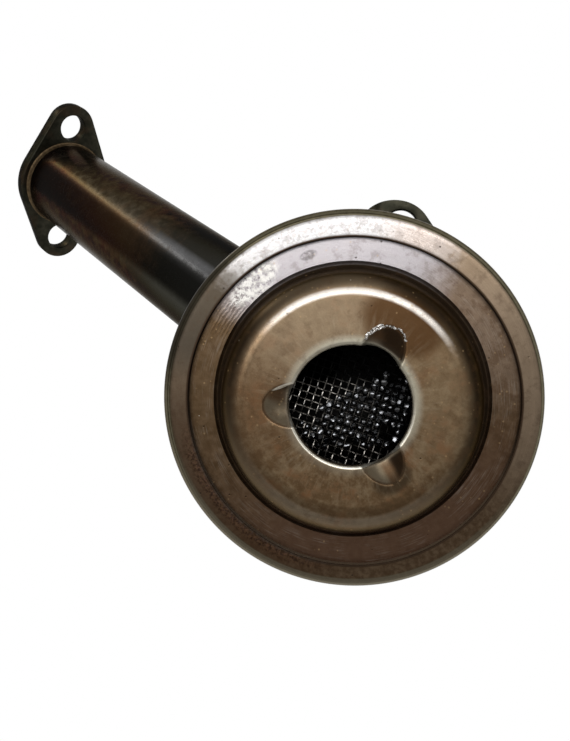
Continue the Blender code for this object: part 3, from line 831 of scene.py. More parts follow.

# %% [markdown]
# ## Finish of the cover
# The cover is browned like old bronze. Its groove is dark with dirt and painted shade, its shoulder and the
# top of its flange carry painted highlights, its wall and scoops carry painted light and shade, and the metal
# round the hole is paler, because the press stretched it. Its dome and its flange wear differently, so each
# gets a stack of coats of its own, and the groove between them hides where they meet.

# %% Paint the dome
def dome_color(bronze, at, patch):
    """The plateau, the scoops, the shoulder and the wall of the dome, with painted light and shade on all of
    them.
    """
    place, r, depth, side = at.place, at.r, at.depth, at.side
    cloud = bronze.noise(place, 0.16, 3.0, 0.6)
    rays = bronze.noise(bronze.vector(r * 0.25, at.x * 26.0, at.y * 26.0), 1.0, 2.0, 0.6)
    # A painted highlight along the hole's rolled rim, on its lower side.
    edge_line = r.band(HOLE_RADIUS * MILLIMETRES + 0.35, 0.10, 0.22) * side(255, -0.5, 0.3)
    # The top of the shoulder carries a painted highlight.
    shoulder = r.band(20.75, 0.30, 0.6) * (at.toward(84) + (patch - 0.5) * 0.2).step(0.50, 0.80)
    scoops = r.step(18.0, 17.0) * r.step(11.7, 12.4)
    # The scoops get painted shade in their hollows and creases, painted light on the sides that face one way
    # and painted shade on the others.
    crease = depth.step(-6.44, -6.40) * depth.step(-6.0, -6.3) * scoops
    pressed = depth.step(-6.35, -5.9) * scoops
    facing = bronze.node("ShaderNodeTexCoord", output="Normal").along(on_face(35))
    top = bronze.coats(
        bronze.mix(patch.step(0.35, 0.68), (100, 78, 54), (132, 112, 86)),
        copper=(cloud.step(0.46, 0.64) * patch.step(0.38, 0.60) * 0.75, (118, 80, 50)),
        # The plateau is painted lighter at the top and right as painted light; near the shoulder at the
        # bottom it gets painted shade and a painted reflection.
        upper_light=(side(108, 0.35, 0.98) * 0.6, (152, 134, 110)),
        right_light=(side(20, 0.4, 0.98) * 0.35, (146, 126, 98)),
        left_shade=(side(180, 0.75, 1.0) * 0.45, (104, 80, 58)),
        low_dark=(side(262, 0.3, 0.95) * r.band(19.6, 0.7, 0.6) * 0.5, (72, 56, 38)),
        low_grey=(side(265, 0.3, 0.95) * r.band(21.7, 0.6, 0.8) * 0.5, (138, 128, 112)),
        brown_stain=(at.spot(9.0, 14.8, 7.8, 5.8, -28) * 0.9, (80, 54, 30)),
        oil_stain=(at.spot(7.5, -13.2, 3.8, 2.8, 30) * 0.75, (54, 45, 33)),
        pale_ring=(r.step(13.4, 11.5) * (at.toward(65) * 0.34 + 0.56), (190, 186, 168)),
        rays=((rays - 0.5) * 0.55 * r.step(19.5, 15.0), (196, 182, 156)),
        bright_edge=(edge_line * 0.9, (236, 232, 218)),
        # Painted highlight on the shoulder.
        shoulder=(shoulder * 0.9, (190, 184, 177)),
        # Painted shade in the scoops' creases and hollows, and painted light and shade on their sides.
        crease=(crease * 0.6, (60, 46, 32)),
        pressed=(pressed * 0.72, (74, 56, 40)),
        pressed_light=(pressed * facing.step(0.10, 0.40) * 0.6, (122, 114, 96)),
        pressed_shade=(pressed * facing.step(-0.06, -0.34) * 0.85, (32, 23, 15)))
    # The dome's wall is painted with light and shade: darkest at the sides, paler at the top and bottom, and
    # darker again at its foot by the groove.
    wall = bronze.coats(
        bronze.mix(side(262, -0.3, 0.8), (27, 19, 12), (88, 76, 60)),
        upper=(side(110, 0.78, 1.0) * 0.7, (82, 71, 56)),
        right=(side(-6, 0.70, 1.0) * 0.7, (14, 9, 5)),
        left=(side(165, 0.75, 1.0) * 0.55, (24, 17, 10)),
        foot=(r.step(23.2, 24.5) * 0.8, (38, 28, 17)))
    wall_share = (r + at.toward(-5).math("ABSOLUTE") * 0.9).step(21.3, 23.6)
    return bronze.mix(wall_share, top, wall), rays

# %% Paint the flange of the cover
def flange_color(bronze, at, patch, marks):
    """The flat flange with its painted lilac highlight, painted light at the upper right, its stain and its
    scuff.
    """
    place, side = at.place, at.side
    stain = bronze.noise(place, 0.30, 4.0, 0.65).step(0.47, 0.62) * side(20, 0.2, 0.8)
    # A painted lilac highlight over the top of the flange, where the lamp is reflected.
    lilac = (at.toward(98) + (patch - 0.5) * 0.12 + (marks - 0.5) * 0.06).step(0.60, 0.88)
    scuff_place = at.spot(-18.4, 22.0, 5.6, 2.6, 43)
    scuff_noise = bronze.noise(place, 1.1, 6.0, 0.75)
    scuff = scuff_place * scuff_noise.step(0.42, 0.54)
    scuff_dark = scuff_place * scuff_noise.step(0.42, 0.34)
    smudge = at.spot(-8.2, 27.3, 1.7, 0.9, 20) * bronze.noise(place, 0.9, 4.0, 0.7).step(0.35, 0.60)
    color = bronze.coats(
        bronze.mix(patch.step(0.3, 0.7), (76, 58, 39), (102, 82, 62)),
        low_red=(side(285, 0.2, 0.9) * 0.7, (92, 68, 55)),
        right_light=(side(42, 0.62, 0.98) * 0.5, (144, 126, 110)),
        left_brown=(side(165, 0.7, 1.0) * 0.3, (96, 78, 54)),
        stain=(stain * 0.55, (84, 62, 44)),
        lilac=(lilac, (176, 171, 174)),
        scuff=(scuff * 0.9, (226, 224, 218)),
        scuff_dark=(scuff_dark * 0.8, (84, 74, 66)),
        smudge=(smudge * 0.65, (70, 68, 70)),
        streaks=((marks - 0.5) * 0.8 * bronze.noise(place, 0.35, 2.0).step(0.35, 0.65), (200, 190, 178)))
    return color, lilac, scuff, scuff_dark

# %% Join the coats of the cover
def cover_finish():
    bronze = Finish("bronzed_steel")
    at = OnHead(bronze)
    place, r = at.place, at.r
    patch = bronze.noise(place, 0.55, 4.0, 0.62)
    grain = bronze.noise(place, 8.0, 2.0, 0.65)
    marks = bronze.noise(bronze.vector(r * 5.0, at.x * 6.0, at.y * 6.0), 1.0, 3.0, 0.6)
    dome, rays = dome_color(bronze, at, patch)
    flange, lilac, scuff, scuff_dark = flange_color(bronze, at, patch, marks)
    # The groove is painted dark, as dirt and as shade in the recess.
    groove = (r + (patch - 0.5) * 0.2).band(24.88, 0.62, 0.35)
    seam = (r - wander_mask(at) + (marks - 0.5) * 0.08).step(31.08, 31.20)
    dots = bronze.speckles(place, 2.6, 0.09, 0.4)
    gold = bronze.speckles(place, 0.8, 0.30, 0.22) * bronze.noise(place, 0.3, 2.0).step(0.45, 0.60)
    color = bronze.coats(
        dome,
        flange=(r.step(25.35, 25.85), flange),
        groove=(groove * 0.95, (28, 19, 10)),
        seam=seam_dirt(at, seam),
        dots=(dots * 0.7, (44, 32, 22)),
        nicks=(bronze.speckles(place, 2.9, 0.035, 0.55) * 0.8, (226, 216, 198)),
        # A painted highlight along the upper edge of the left scoop.
        scratch=(at.spot(-12.5, 3.45, 1.9, 0.28, 22) * 0.8, (238, 232, 216)),
        gold=(gold * 0.35, (188, 158, 116)),
        blotches=(bronze.noise(place, 0.42, 4.0, 0.7).step(0.50, 0.66) * 0.28, (72, 50, 32)),
        grain=((grain - 0.3) * 0.6, (66, 50, 35)))
    ripples = (r * 9.0 + patch * 9.0).math("SINE") * at.spot(-23.5, 15.5, 4.2, 3.6)
    polished = lilac * r.step(25.6, 26.1) * 0.08 + r.band(20.6, 0.8, 0.6) * 0.08
    rough = 0.38 - polished + groove * 0.25 + (grain - 0.5) * 0.14 + scuff_dark * 0.15
    height = (marks * 0.22 + grain * 0.25 + patch * 0.35 - dots * 0.9 + scuff * 0.7 + ripples * 0.35
              + rays * 0.1)
    bronze.set(Base_Color=color, Metallic=0.92 - groove * 0.3, Roughness=rough,
               Normal=bronze.bump(height, 0.5), Specular_Tint=(226, 206, 176))
    return bronze


cover_steel = cover_finish()
print(f"bronzed steel: {len(cover_steel.tree.nodes)} nodes")

# %% [markdown]
# ## Oily finishes
# The wires and the inside of the bell are wet with black oil. The wires get a clear, smooth coat on a nearly
# black base, with painted shadow at the top of the cloth; the inside is nearly black as oil and painted
# shade;
# and the drops are black with painted glints where they face up.

# %% Paint the wires, the inside and the oil
def wire_finish():
    wire = Finish("oily_wire")
    at = OnHead(wire)
    u, v = at.u, at.v
    worn = wire.noise(at.place, 2.4, 3.0, 0.6)
    oily = (v - u * 0.6 + (worn - 0.5) * 3.0).step(2.4, 0.8) * u.step(-7.5, -5.0) * v.step(-10.0, -8.8)
    # The top of the cloth is painted dark as shadow under the hole's edge; the right side and the oily patch
    # are dark too.
    shaded = (v + (worn - 0.5) * 4.0).step(1.5, 4.5)
    right_side = (u + (worn - 0.5) * 3.0).step(4.0, 7.0)
    dark = 1 - (1 - oily * 0.85) * (1 - shaded) * (1 - right_side * 0.9)
    color = wire.mix(dark, wire.mix(worn.step(0.42, 0.60), (40, 38, 36), (164, 158, 150)), (7, 7, 7))
    wire.set(Base_Color=color, Metallic=0.96, Roughness=0.22 + worn * 0.2 + dark * 0.1,
             Coat_Weight=(1 - dark) * 0.5, Coat_Roughness=0.08, Specular_Tint=(100, 98, 94))
    return wire


def inside_finish():
    inside = Finish("oil_soaked_inside")
    # The inside is painted nearly black, as oil and as painted shade in the hollow.
    stain = inside.noise(centred(inside, HEAD), 0.5, 4.0, 0.6)
    color = inside.mix(stain, (8, 7, 6), (34, 28, 22))
    inside.set(Base_Color=color, Metallic=0.3, Roughness=0.4 + stain * 0.3)
    return inside


def oil_finish():
    oil = Finish("black_oil")
    place = centred(oil, HEAD)
    # Painted glints: bright metallic patches where the drops face up.
    faces_up = oil.node("ShaderNodeTexCoord", output="Normal").along(FACE_UP)
    film = faces_up.step(0.12, 0.34) * faces_up.step(0.80, 0.62) * oil.noise(place, 1.1, 1.0).step(0.40, 0.50)
    color = oil.mix(oil.noise(place, 1.5, 2.0).step(0.55, 0.75), (6, 6, 7), (22, 15, 11))
    oil.set(Base_Color=oil.mix(film, color, (150, 152, 156)), Metallic=film, Roughness=0.12 + film * 0.1)
    return oil


wire_steel = wire_finish()
soaked = inside_finish()
black_oil = oil_finish()
print(f"oily finishes: {wire_steel.material.name}, {soaked.material.name}, {black_oil.material.name}")

# %% [markdown]
# ## Blackened tube and plates
# The tube and the plates were dipped in a black oxide, which wears to grey along the drawing marks and goes
# brown where it was heated. The marks run along the tube, so its noise is stretched along its axis. The tube
# also gets a painted highlight line, painted light on its lower edge and a painted shade stripe.

# %% Paint the tube, the plates and the filler
def tube_finish():
    black = Finish("blackened_tube")
    place = centred(black, BALL_CENTRE)
    aside, across, along = (place.along(way) for way in (TUBE_ACROSS, AHEAD, TUBE_WAY))
    around = Around(across / (TUBE_RADIUS * MILLIMETRES), aside / (TUBE_RADIUS * MILLIMETRES))
    cloud = black.noise(place, 0.07, 3.0, 0.6)
    patch = black.noise(place, 0.4, 4.0, 0.65)
    drawn = black.noise(black.vector(aside * 1.6, across * 1.6, along * 0.05), 1.0, 3.0, 0.6)
    grain = black.noise(place, 6.0, 2.0, 0.6)
    dots = black.speckles(place, 2.4, 0.08, 0.35)
    near_head = (along + patch * 24.0).step(98.0, 72.0)
    # A painted shade stripe along one side of the tube, where it would mirror dark surroundings.
    under = (around.toward(266) + (patch - 0.5) * 0.03).step(0.89, 0.975)
    color = black.coats(
        black.mix(patch.step(0.3, 0.72), (60, 55, 48), (76, 70, 61)),
        drawing_marks=(drawn.step(0.55, 0.85) * 0.35, (86, 80, 70)),
        heat_brown=((cloud + patch * 0.25).step(0.60, 0.76) * 0.45, (68, 53, 42)),
        heat_red=(black.noise(place, 0.09, 2.0, 0.5).step(0.50, 0.68) * 0.35, (78, 54, 46)),
        oiled=(near_head * 0.95, (43, 43, 40)),
        # Painted highlight line and painted light on the lower edge, near the head.
        worn_line=(around.side(286, 0.972, 0.997) * near_head * (patch * 0.6 + 0.5), (88, 88, 89)),
        low_edge=(around.side(230, 0.84, 0.97) * near_head * 0.9, (66, 66, 62)),
        underside=(under * 0.92, black.mix(near_head, (42, 33, 25), (19, 19, 18))),
        joint_heat=((along + patch * 9.0).step(36.0, 24.0) * 0.3, (48, 44, 38)),
        dots=(dots * 0.5, (24, 18, 14)))
    height = drawn * 0.3 + grain * 0.3 + patch * 0.4 - dots * 0.6
    black.set(Base_Color=color, Metallic=0.95, Roughness=0.25 + (patch - 0.5) * 0.2 + (grain - 0.5) * 0.10,
              Normal=black.bump(height, 0.4), Specular_Tint=(156, 152, 146))
    return black


def plate_finish():
    plate = Finish("blackened_plate")
    place = centred(plate, BALL_CENTRE)
    patch = plate.noise(place, 0.45, 4.0, 0.65)
    grain = plate.noise(place, 6.0, 2.0, 0.6)
    dots = plate.speckles(place, 1.9, 0.09, 0.35)
    color = plate.coats(
        plate.mix(patch.step(0.3, 0.72), (34, 34, 27), (54, 52, 43)),
        brown=(plate.noise(place, 0.15, 3.0).step(0.5, 0.7) * 0.5, (60, 46, 34)),
        dots=(dots * 0.6, (22, 18, 14)))
    plate.set(Base_Color=color, Metallic=0.93, Roughness=0.38 + (grain - 0.5) * 0.2,
              Normal=plate.bump(grain * 0.35 + patch * 0.5 - dots * 0.6, 0.45),
              Specular_Tint=(140, 138, 132))
    return plate


def filler_finish():
    filler = Finish("filler_metal")
    place = centred(filler, BALL_CENTRE)
    patch = filler.noise(place, 0.8, 4.0, 0.65)
    grain = filler.noise(place, 5.0, 3.0, 0.6)
    color = filler.coats(
        filler.mix(patch.step(0.35, 0.65), (84, 68, 48), (120, 100, 72)),
        grain=(grain.step(0.5, 0.72) * 0.4, (52, 44, 34)))
    filler.set(Base_Color=color, Metallic=0.85, Roughness=0.42 + (grain - 0.5) * 0.25,
               Normal=filler.bump(grain * 0.6 + patch, 0.5, FINE_RELIEF * 2))
    return filler


tube_steel = tube_finish()
ear_steel = plate_finish()
filler_metal = filler_finish()
print(f"blackened tube: {len(tube_steel.tree.nodes)} nodes")

# %% [markdown]
# ## Wire cloth
# The strainer is a plain weave: each wire goes over one and under the next. A weave repeats without end, so
# Geometry Nodes make it. A grid's edges along one way become the wires, their height follows a cosine whose
# sign changes from wire to wire, and a small circle is swept along them.

# %% Weave the cloth
WIRE_PITCH = 0.0014
WIRE_RADIUS = 0.00015
WIRE_SIDES = 6
WEAVE_TURN = math.radians(77.3)
CLOTH_RADIUS = RIM_RADIUS - SHEET - 2 * FIT_GAP
CLOTH_DEPTH = 0.0035
STEPS_PER_PITCH = 3
DISH_EASE = 0.0005
LEVEL_SHARE = 0.01


def woven(sizes):
    cloth = Shapes("wire_cloth", sizes)
    given = cloth.given
    pitch, dish_radius = given["Pitch"], given["Dish radius"]
    ways = []
    for sign, spin in ((1.0, 0.0), (-1.0, math.pi / 2)):
        grid = cloth.square(pitch, given["Points"], given["Wires"])
        ends = [cloth.node("GeometryNodeInputMeshEdgeVertices", output=f"Position {n}") for n in (1, 2)]
        gap = cloth.node("ShaderNodeVectorMath", dict(enumerate(ends)), operation="SUBTRACT")
        crosswise = gap.along((0.0, 1.0, 0.0)).math("ABSOLUTE").math("GREATER_THAN", pitch * LEVEL_SHARE)
        lines = cloth.node("GeometryNodeDeleteGeometry", {"Geometry": grid, "Selection": crosswise},
                           domain="EDGE", mode="EDGE_FACE")
        place = cloth.node("GeometryNodeInputPosition")
        x, y = (cloth.node("ShaderNodeSeparateXYZ", {0: place}, output=n) for n in (0, 1))
        radius = (x * x + y * y).math("SQRT")
        outside = radius.math("GREATER_THAN", given["Cloth radius"])
        disc = cloth.node("GeometryNodeDeleteGeometry", {"Geometry": lines, "Selection": outside},
                          domain="POINT")
        wave = ((x + y) / pitch * math.pi).math("COSINE") * (given["Wire radius"] * sign)
        dish = radius.step(dish_radius - DISH_EASE, dish_radius + DISH_EASE, given["Dish depth"], 0.0)
        bent = cloth.moved(disc, cloth.node("ShaderNodeCombineXYZ", {"Z": wave + dish}))
        curves = cloth.node("GeometryNodeMeshToCurve", {"Mesh": bent})
        wires = cloth.swept(curves, given["Wire radius"], WIRE_SIDES)
        ways.append(cloth.node("GeometryNodeTransform", {"Geometry": wires, "Rotation": (0.0, 0.0, spin)}))
    return cloth.made(cloth.joined(ways))


wires_across = 2 * int(CLOTH_RADIUS / WIRE_PITCH) + 1
cloth = woven({
    "Pitch": WIRE_PITCH, "Wire radius": WIRE_RADIUS, "Cloth radius": CLOTH_RADIUS,
    "Dish radius": JOGGLE_RADIUS, "Dish depth": SCREEN_DISH, "Wires": wires_across,
    "Points": (wires_across - 1) * STEPS_PER_PITCH + 1, "Material": wire_steel.material})
TO_CLOTH = Matrix.Translation((0, 0, CLOTH_DEPTH)) @ Matrix.Rotation(WEAVE_TURN, 4, "Z")
cloth.data.transform(TO_HEAD @ TO_CLOTH)
tell(cloth)

# %% [markdown]
# ## Oil in the meshes
# Thick oil hangs in the meshes as drops, one to a mesh, in rows. Geometry Nodes put a small rounded lump at
# the middle of each mesh of a chosen patch, leave some out, vary their size, and dent them with noise.

# %% Hang the drops
DROP_RADIUS = 0.00082
DROP_FLATNESS = (1.0, 0.78, 0.7)
DROP_SIZES = (0.6, 1.15)
DROP_SHIFT = (0.00007, 0.00007, 0.00006)
DROP_SPIN = (0.5, 0.5, 0.7)
DROP_HANG = 0.00040
DROPS_KEPT = 0.88
PATCH_TOP = 0.0016
PATCH_SLOPE = 0.6
PATCH_FOOT = -0.0094
DENT_SCALE = 1400.0
DENT_DEPTH = 0.00022


def hung_drops(sizes):
    oil = Shapes("oil_drops", sizes)
    given = oil.given

    def draw(number, low, high):
        """A random number or vector for each point; every draw has a seed of its own."""
        vector = isinstance(low, tuple)
        first = 0 if vector else 2
        limits = {first: low, first + 1: high, "Seed": given["Seed"] + number}
        return oil.node("FunctionNodeRandomValue", limits, output=0 if vector else 1,
                        data_type="FLOAT_VECTOR" if vector else "FLOAT")

    def draw_both_ways(number, reach):
        return draw(number, tuple(-n for n in reach), reach)

    place = oil.node("GeometryNodeInputPosition")
    u, v = place.along(given["Right"]), place.along(given["Up"])
    radius = oil.node("ShaderNodeVectorMath", {0: place}, output=1, operation="LENGTH")
    chosen = (v.math("LESS_THAN", u * PATCH_SLOPE + PATCH_TOP) * v.math("GREATER_THAN", PATCH_FOOT)
              * (radius.math("LESS_THAN", given["Reach"]) * draw(0, 0.0, 1.0).math("LESS_THAN", DROPS_KEPT)))
    grid = oil.square(given["Pitch"], given["Meshes"], given["Meshes"])
    lump = oil.node("GeometryNodeMeshIcoSphere", {"Radius": given["Drop radius"], "Subdivisions": 2})
    flat = oil.node("GeometryNodeTransform", {"Geometry": lump, "Scale": DROP_FLATNESS})
    drops = oil.node("GeometryNodeInstanceOnPoints", {
        "Points": oil.moved(grid, draw_both_ways(2, DROP_SHIFT)), "Selection": chosen, "Instance": flat,
        "Rotation": draw_both_ways(3, DROP_SPIN), "Scale": draw(1, *DROP_SIZES)})
    whole = oil.node("GeometryNodeRealizeInstances", {"Geometry": drops})
    dents = oil.node("ShaderNodeTexNoise", {"Vector": place, "Scale": DENT_SCALE}, normalize=False)
    push = oil.node("GeometryNodeInputNormal").stretched(dents * DENT_DEPTH)
    return oil.made(oil.moved(whole, push))


face_turn = Matrix.Rotation(-WEAVE_TURN, 3, "Z")
drops = hung_drops({
    "Pitch": WIRE_PITCH, "Meshes": 22, "Drop radius": DROP_RADIUS, "Reach": 0.0118,
    "Right": tuple(face_turn @ FACE_RIGHT), "Up": tuple(face_turn @ FACE_UP), "Seed": 7,
    "Material": black_oil.material})
drops.data.transform(TO_HEAD @ TO_CLOTH @ Matrix.Translation((0, 0, SCREEN_DISH - DROP_HANG)))
tell(drops)

# %% [markdown]
# ## Torn edge
# The press tore the edge of one scoop and left a bright, ragged ridge. It follows the scoop's outline, so
# Geometry Nodes sweep a thin section along that path and let noise push it about.

# %% Sweep the torn edge
TORN_THICKNESS = 0.00017
TORN_ROUGHNESS = 0.00030
TORN_SCALE = 1100.0
TORN_STEPS = 90
TORN_SIDES = 7
PATH_STEPS = 24
PATH_LIFT = 0.00002
# Each torn edge: its name, the shares of the scoop's outline where it starts and ends, and its distance out.
TORN_EDGES = (("torn_edge_inner", 0.10, 1.42, 0.00002), ("torn_edge_outer", 0.16, 0.62, 0.0004))


def torn_edge(name, sizes):
    edge = Shapes(name, sizes)
    path = edge.node("GeometryNodeObjectInfo", {"Object": edge.given["Path"]}, output="Geometry")
    curve = edge.node("GeometryNodeMeshToCurve", {"Mesh": path})
    steps = edge.node("GeometryNodeResampleCurve", {"Curve": curve, "Count": TORN_STEPS})
    ridge = edge.swept(steps, edge.given["Thickness"], TORN_SIDES)
    place = edge.node("GeometryNodeInputPosition")
    noise = edge.node("ShaderNodeTexNoise", {"Vector": place, "Scale": TORN_SCALE, "Detail": 3.0},
                      output=1, normalize=False)
    return edge.made(edge.moved(ridge, noise.stretched(edge.given["Roughness"])))


def torn_path(first, last, out):
    """An edge path along the scoop's outline, from one share of it to another, moved out by a distance."""
    bm = bmesh.new()
    before = None
    for i in range(PATH_STEPS + 1):
        turn_angle = math.pi / 2 * (first + (last - first) * i / PATH_STEPS)
        reach = math.sin(turn_angle) ** (2 / SCOOP_TIP_POWER)
        along_way = HOLE_RADIUS + (SCOOP_LENGTH + out) * reach
        across = -(SCOOP_HALF + out) * math.cos(turn_angle)
        spot = Matrix.Rotation(SCOOP_FIRST, 3, "Z") @ Vector((along_way, across, 0))
        point = bm.verts.new((spot.x, spot.y, -DOME_HEIGHT - PATH_LIFT))
        if before:
            bm.edges.new((before, point))
        before = point
    return to_object("path", bm)


torn_steel = Finish("torn_bright_steel")
torn_shade = torn_steel.noise(centred(torn_steel, HEAD), 3.0)
torn_steel.set(Base_Color=torn_steel.mix(torn_shade.step(0.4, 0.6), (120, 112, 104), (228, 226, 222)),
               Metallic=0.95, Roughness=torn_shade * 0.3 + 0.12)
for name, first, last, out in TORN_EDGES:
    path = torn_path(first, last, out)
    torn = torn_edge(name, {"Thickness": TORN_THICKNESS, "Roughness": TORN_ROUGHNESS, "Path": path,
                            "Material": torn_steel.material})
    bpy.data.objects.remove(path)
    torn.data.transform(TO_HEAD)
    finish_piece(torn, torn_steel, None)

# %% [markdown]
# ## Pickup tube
# The tube is a straight thick-walled pipe. Sweeping the wall's section round a circle gives its outer face,
# its bore and its rounded ends in one go, and a node group keeps its sizes as named inputs.

# %% Sweep the tube
TUBE_WALL = 0.0016
TUBE_EDGE = 0.0003
TUBE_START = math.sqrt((BELL_RADIUS - SHEET) ** 2 - TUBE_RADIUS**2) - 0.0015
FLANGE_DISTANCE = 0.1480
FLANGE_THICKNESS = 0.0040
TUBE_END = FLANGE_DISTANCE + FLANGE_THICKNESS


def swept_tube(sizes):
    pipe = Shapes("suction_tube", sizes)
    wall, length = pipe.given["Wall"], pipe.given["Length"]
    path = pipe.node("GeometryNodeCurvePrimitiveCircle", {
        "Resolution": pipe.given["Sides"], "Radius": pipe.given["Radius"] - wall * 0.5})
    section = pipe.node("GeometryNodeCurvePrimitiveQuadrilateral", {"Width": wall, "Height": length})
    rounded = pipe.node("GeometryNodeFilletCurve", {
        "Curve": section, "Radius": pipe.given["Edge"], "Count": 4}, mode="POLY")
    ring = pipe.node("GeometryNodeCurveToMesh", {"Curve": path, "Profile Curve": rounded})
    lift = pipe.node("ShaderNodeCombineXYZ", {"Z": length * 0.5})
    return pipe.made(pipe.node("GeometryNodeTransform", {"Geometry": ring, "Translation": lift}))


tube = swept_tube({
    "Radius": TUBE_RADIUS, "Wall": TUBE_WALL, "Length": TUBE_END - TUBE_START, "Edge": TUBE_EDGE,
    "Sides": TUBE_SIDES, "Material": tube_steel.material})
tube.data.transform(TO_TUBE @ Matrix.Translation((0, 0, TUBE_START)))
tell(tube)

# %% [markdown]
# ## Tube flange
# A stamped plate with an ear at each end. Its outline is two ear arcs and two waist arcs with straight lines
# that touch both, so a short formula gives every point, and a bevel rounds the stamped edges.

# %% Cut the flange
WAIST_RADIUS = TUBE_RADIUS + 0.0021
EAR_HOLE = 0.0040
EAR_DISTANCE = TUBE_RADIUS + EAR_HOLE + 0.0012
EAR_RADIUS = EAR_HOLE + 0.0031
EAR_EDGE = 0.0003
SEAT_EDGE = 0.0002
FLANGE_EDGE = 0.00045
FLANGE_TURN = math.radians(-23 - 90)
FLANGE_HOLE_SIDES = 96

touch = math.degrees(math.acos((WAIST_RADIUS - EAR_RADIUS) / EAR_DISTANCE))
outline = []
for side in (0, 180):
    way = math.radians(side)
    ear = (EAR_DISTANCE * math.cos(way), EAR_DISTANCE * math.sin(way))
    outline += arc(ear, EAR_RADIUS, side - touch, side + touch, 32)
    outline += arc((0, 0), WAIST_RADIUS, side + touch, side + 180 - touch, 16)
TO_FLANGE = TO_TUBE @ Matrix.Rotation(FLANGE_TURN, 4, "Z")
flange = to_object("eared_flange", prism(outline, FLANGE_DISTANCE, TUBE_END), TO_FLANGE)
bevel(flange, FLANGE_EDGE)
for reach, radius, edge in ((0, SEATED, SEAT_EDGE), (EAR_DISTANCE, EAR_HOLE, EAR_EDGE),
                            (-EAR_DISTANCE, EAR_HOLE, EAR_EDGE)):
    rod = hole_cutter(radius, FLANGE_DISTANCE, TUBE_END, edge, FLANGE_HOLE_SIDES)
    cut(flange, to_object("hole", rod, TO_FLANGE @ Matrix.Translation((reach, 0, 0))))
tell(flange)

# %% [markdown]
# ## Bracket
# A tab of bent sheet: a flat plate with a bolt hole and one turned-up edge. The bent section is pushed
# through the plan of the tab, which is how a press tool would blank and fold it.

# %% Bend and cut the bracket
TAB_DEPTH = 0.0095
TAB_SHEET = 0.0020
TAB_ANGLE = math.radians(75.3)
TAB_HOLE_DISTANCE = 0.0343
TAB_HOLE = 0.0032
TAB_HOLE_SIDES = 72
TAB_EDGE = 0.0003
TAB_SIDE = 0.0071
TAB_BASE = 0.0090
TAB_MIDDLE = -0.00035
TAB_TIP = 0.0392
TAB_RIGHT_RADIUS = 0.0071
TAB_LEFT_RADIUS = 0.00857
TAB_FLARE_START = 0.0335
TAB_FLARE_ANGLE = 40
TAB_RUN_OUT_ANGLE = -64
TAB_LIP = 0.0065
TAB_BEND = 0.0030
WALL_AT_TAB = 0.0259
INSIDE_WALL = 0.012
BLANK_LENGTH = 0.045
BLANK_HEIGHT = 0.03

bend_centre = (TAB_BEND - TAB_SIDE, TAB_DEPTH + TAB_BEND)
lip_height = TAB_DEPTH + TAB_LIP
bent = ([(TAB_BASE + TAB_SHEET, TAB_DEPTH)] + arc(bend_centre, TAB_BEND, 270, 180, 12)
        + [(-TAB_SIDE, lip_height), (TAB_SHEET - TAB_SIDE, lip_height)]
        + arc(bend_centre, TAB_BEND - TAB_SHEET, 180, 270, 8)
        + [(TAB_BASE + TAB_SHEET, TAB_DEPTH + TAB_SHEET)])
right_flank = arc((TAB_TIP - TAB_RIGHT_RADIUS, TAB_MIDDLE), TAB_RIGHT_RADIUS, TAB_FLARE_ANGLE, 0, 14)
left_flank = arc((TAB_TIP - TAB_LEFT_RADIUS, TAB_MIDDLE), TAB_LEFT_RADIUS, 0, TAB_RUN_OUT_ANGLE, 20)[1:]
plan = ([(INSIDE_WALL, TAB_BASE), (TAB_FLARE_START, TAB_BASE)] + right_flank + left_flank
        + [(INSIDE_WALL, left_flank[-1][1])])
TO_TAB = TO_HEAD @ Matrix.Rotation(TAB_ANGLE, 4, "Z")
SECTION_TURN = Matrix(((0, 0, 1, 0), (1, 0, 0, 0), (0, 1, 0, 0), (0, 0, 0, 1)))
bracket = to_object("bolt_tab", prism(bent, 0.0, BLANK_LENGTH), TO_TAB @ SECTION_TURN)
cut(bracket, to_object("plan", prism(plan, 0.0, BLANK_HEIGHT), TO_TAB), "INTERSECT")
bevel(bracket, TAB_EDGE)
seat = prism(arc((0, 0), WALL_AT_TAB, 0, 358, 179), 0.0, BLANK_HEIGHT)
cut(bracket, to_object("seat", seat, TO_TAB))
bolt_hole = hole_cutter(TAB_HOLE, TAB_DEPTH, TAB_DEPTH + TAB_SHEET, TAB_EDGE, TAB_HOLE_SIDES)
cut(bracket, to_object("hole", bolt_hole, TO_TAB @ Matrix.Translation((TAB_HOLE_DISTANCE, 0, 0))))
tell(bracket)

# %% [markdown]
# ## Filler beads
# Brazed and welded joints freeze with a hollow face between their two legs. Each bead is a turned fillet: one
# runs round the tube on the bell, one round the tube under the flange, and a short one under the bracket.

# %% Turn the beads
BEAD_HOLLOW = 0.25
BEAD_STEPS = 6
BEAD_SEAT = BELL_RADIUS - 0.00005
BELL_BEAD_WIDTH = 0.0024
BELL_BEAD_HEIGHT = 0.0030
FLANGE_BEAD_WIDTH = 0.0007
FLANGE_BEAD_HEIGHT = 0.0016
WELD_WIDTH = 0.0019
WELD_TIP_WIDTH = 0.0002
WELD_HEIGHT = 0.0014
WELD_SIDES = 48
WELD_SWEEP = math.radians(19)
WELD_START = math.radians(1)


def bead_section(corner, foot, tip):
    """A fillet section: its corner, and a hollow face from foot to tip."""
    middle = [(foot[n] + tip[n]) / 2 for n in (0, 1)]
    pull = [middle[n] * (1 - BEAD_HOLLOW) + corner[n] * BEAD_HOLLOW for n in (0, 1)]
    control = [2 * pull[n] - middle[n] for n in (0, 1)]
    face = []
    for i in range(BEAD_STEPS + 1):
        t = i / BEAD_STEPS
        face.append(tuple((1 - t) ** 2 * foot[n] + 2 * t * (1 - t) * control[n] + t * t * tip[n]
                          for n in (0, 1)))
    return [corner] + face


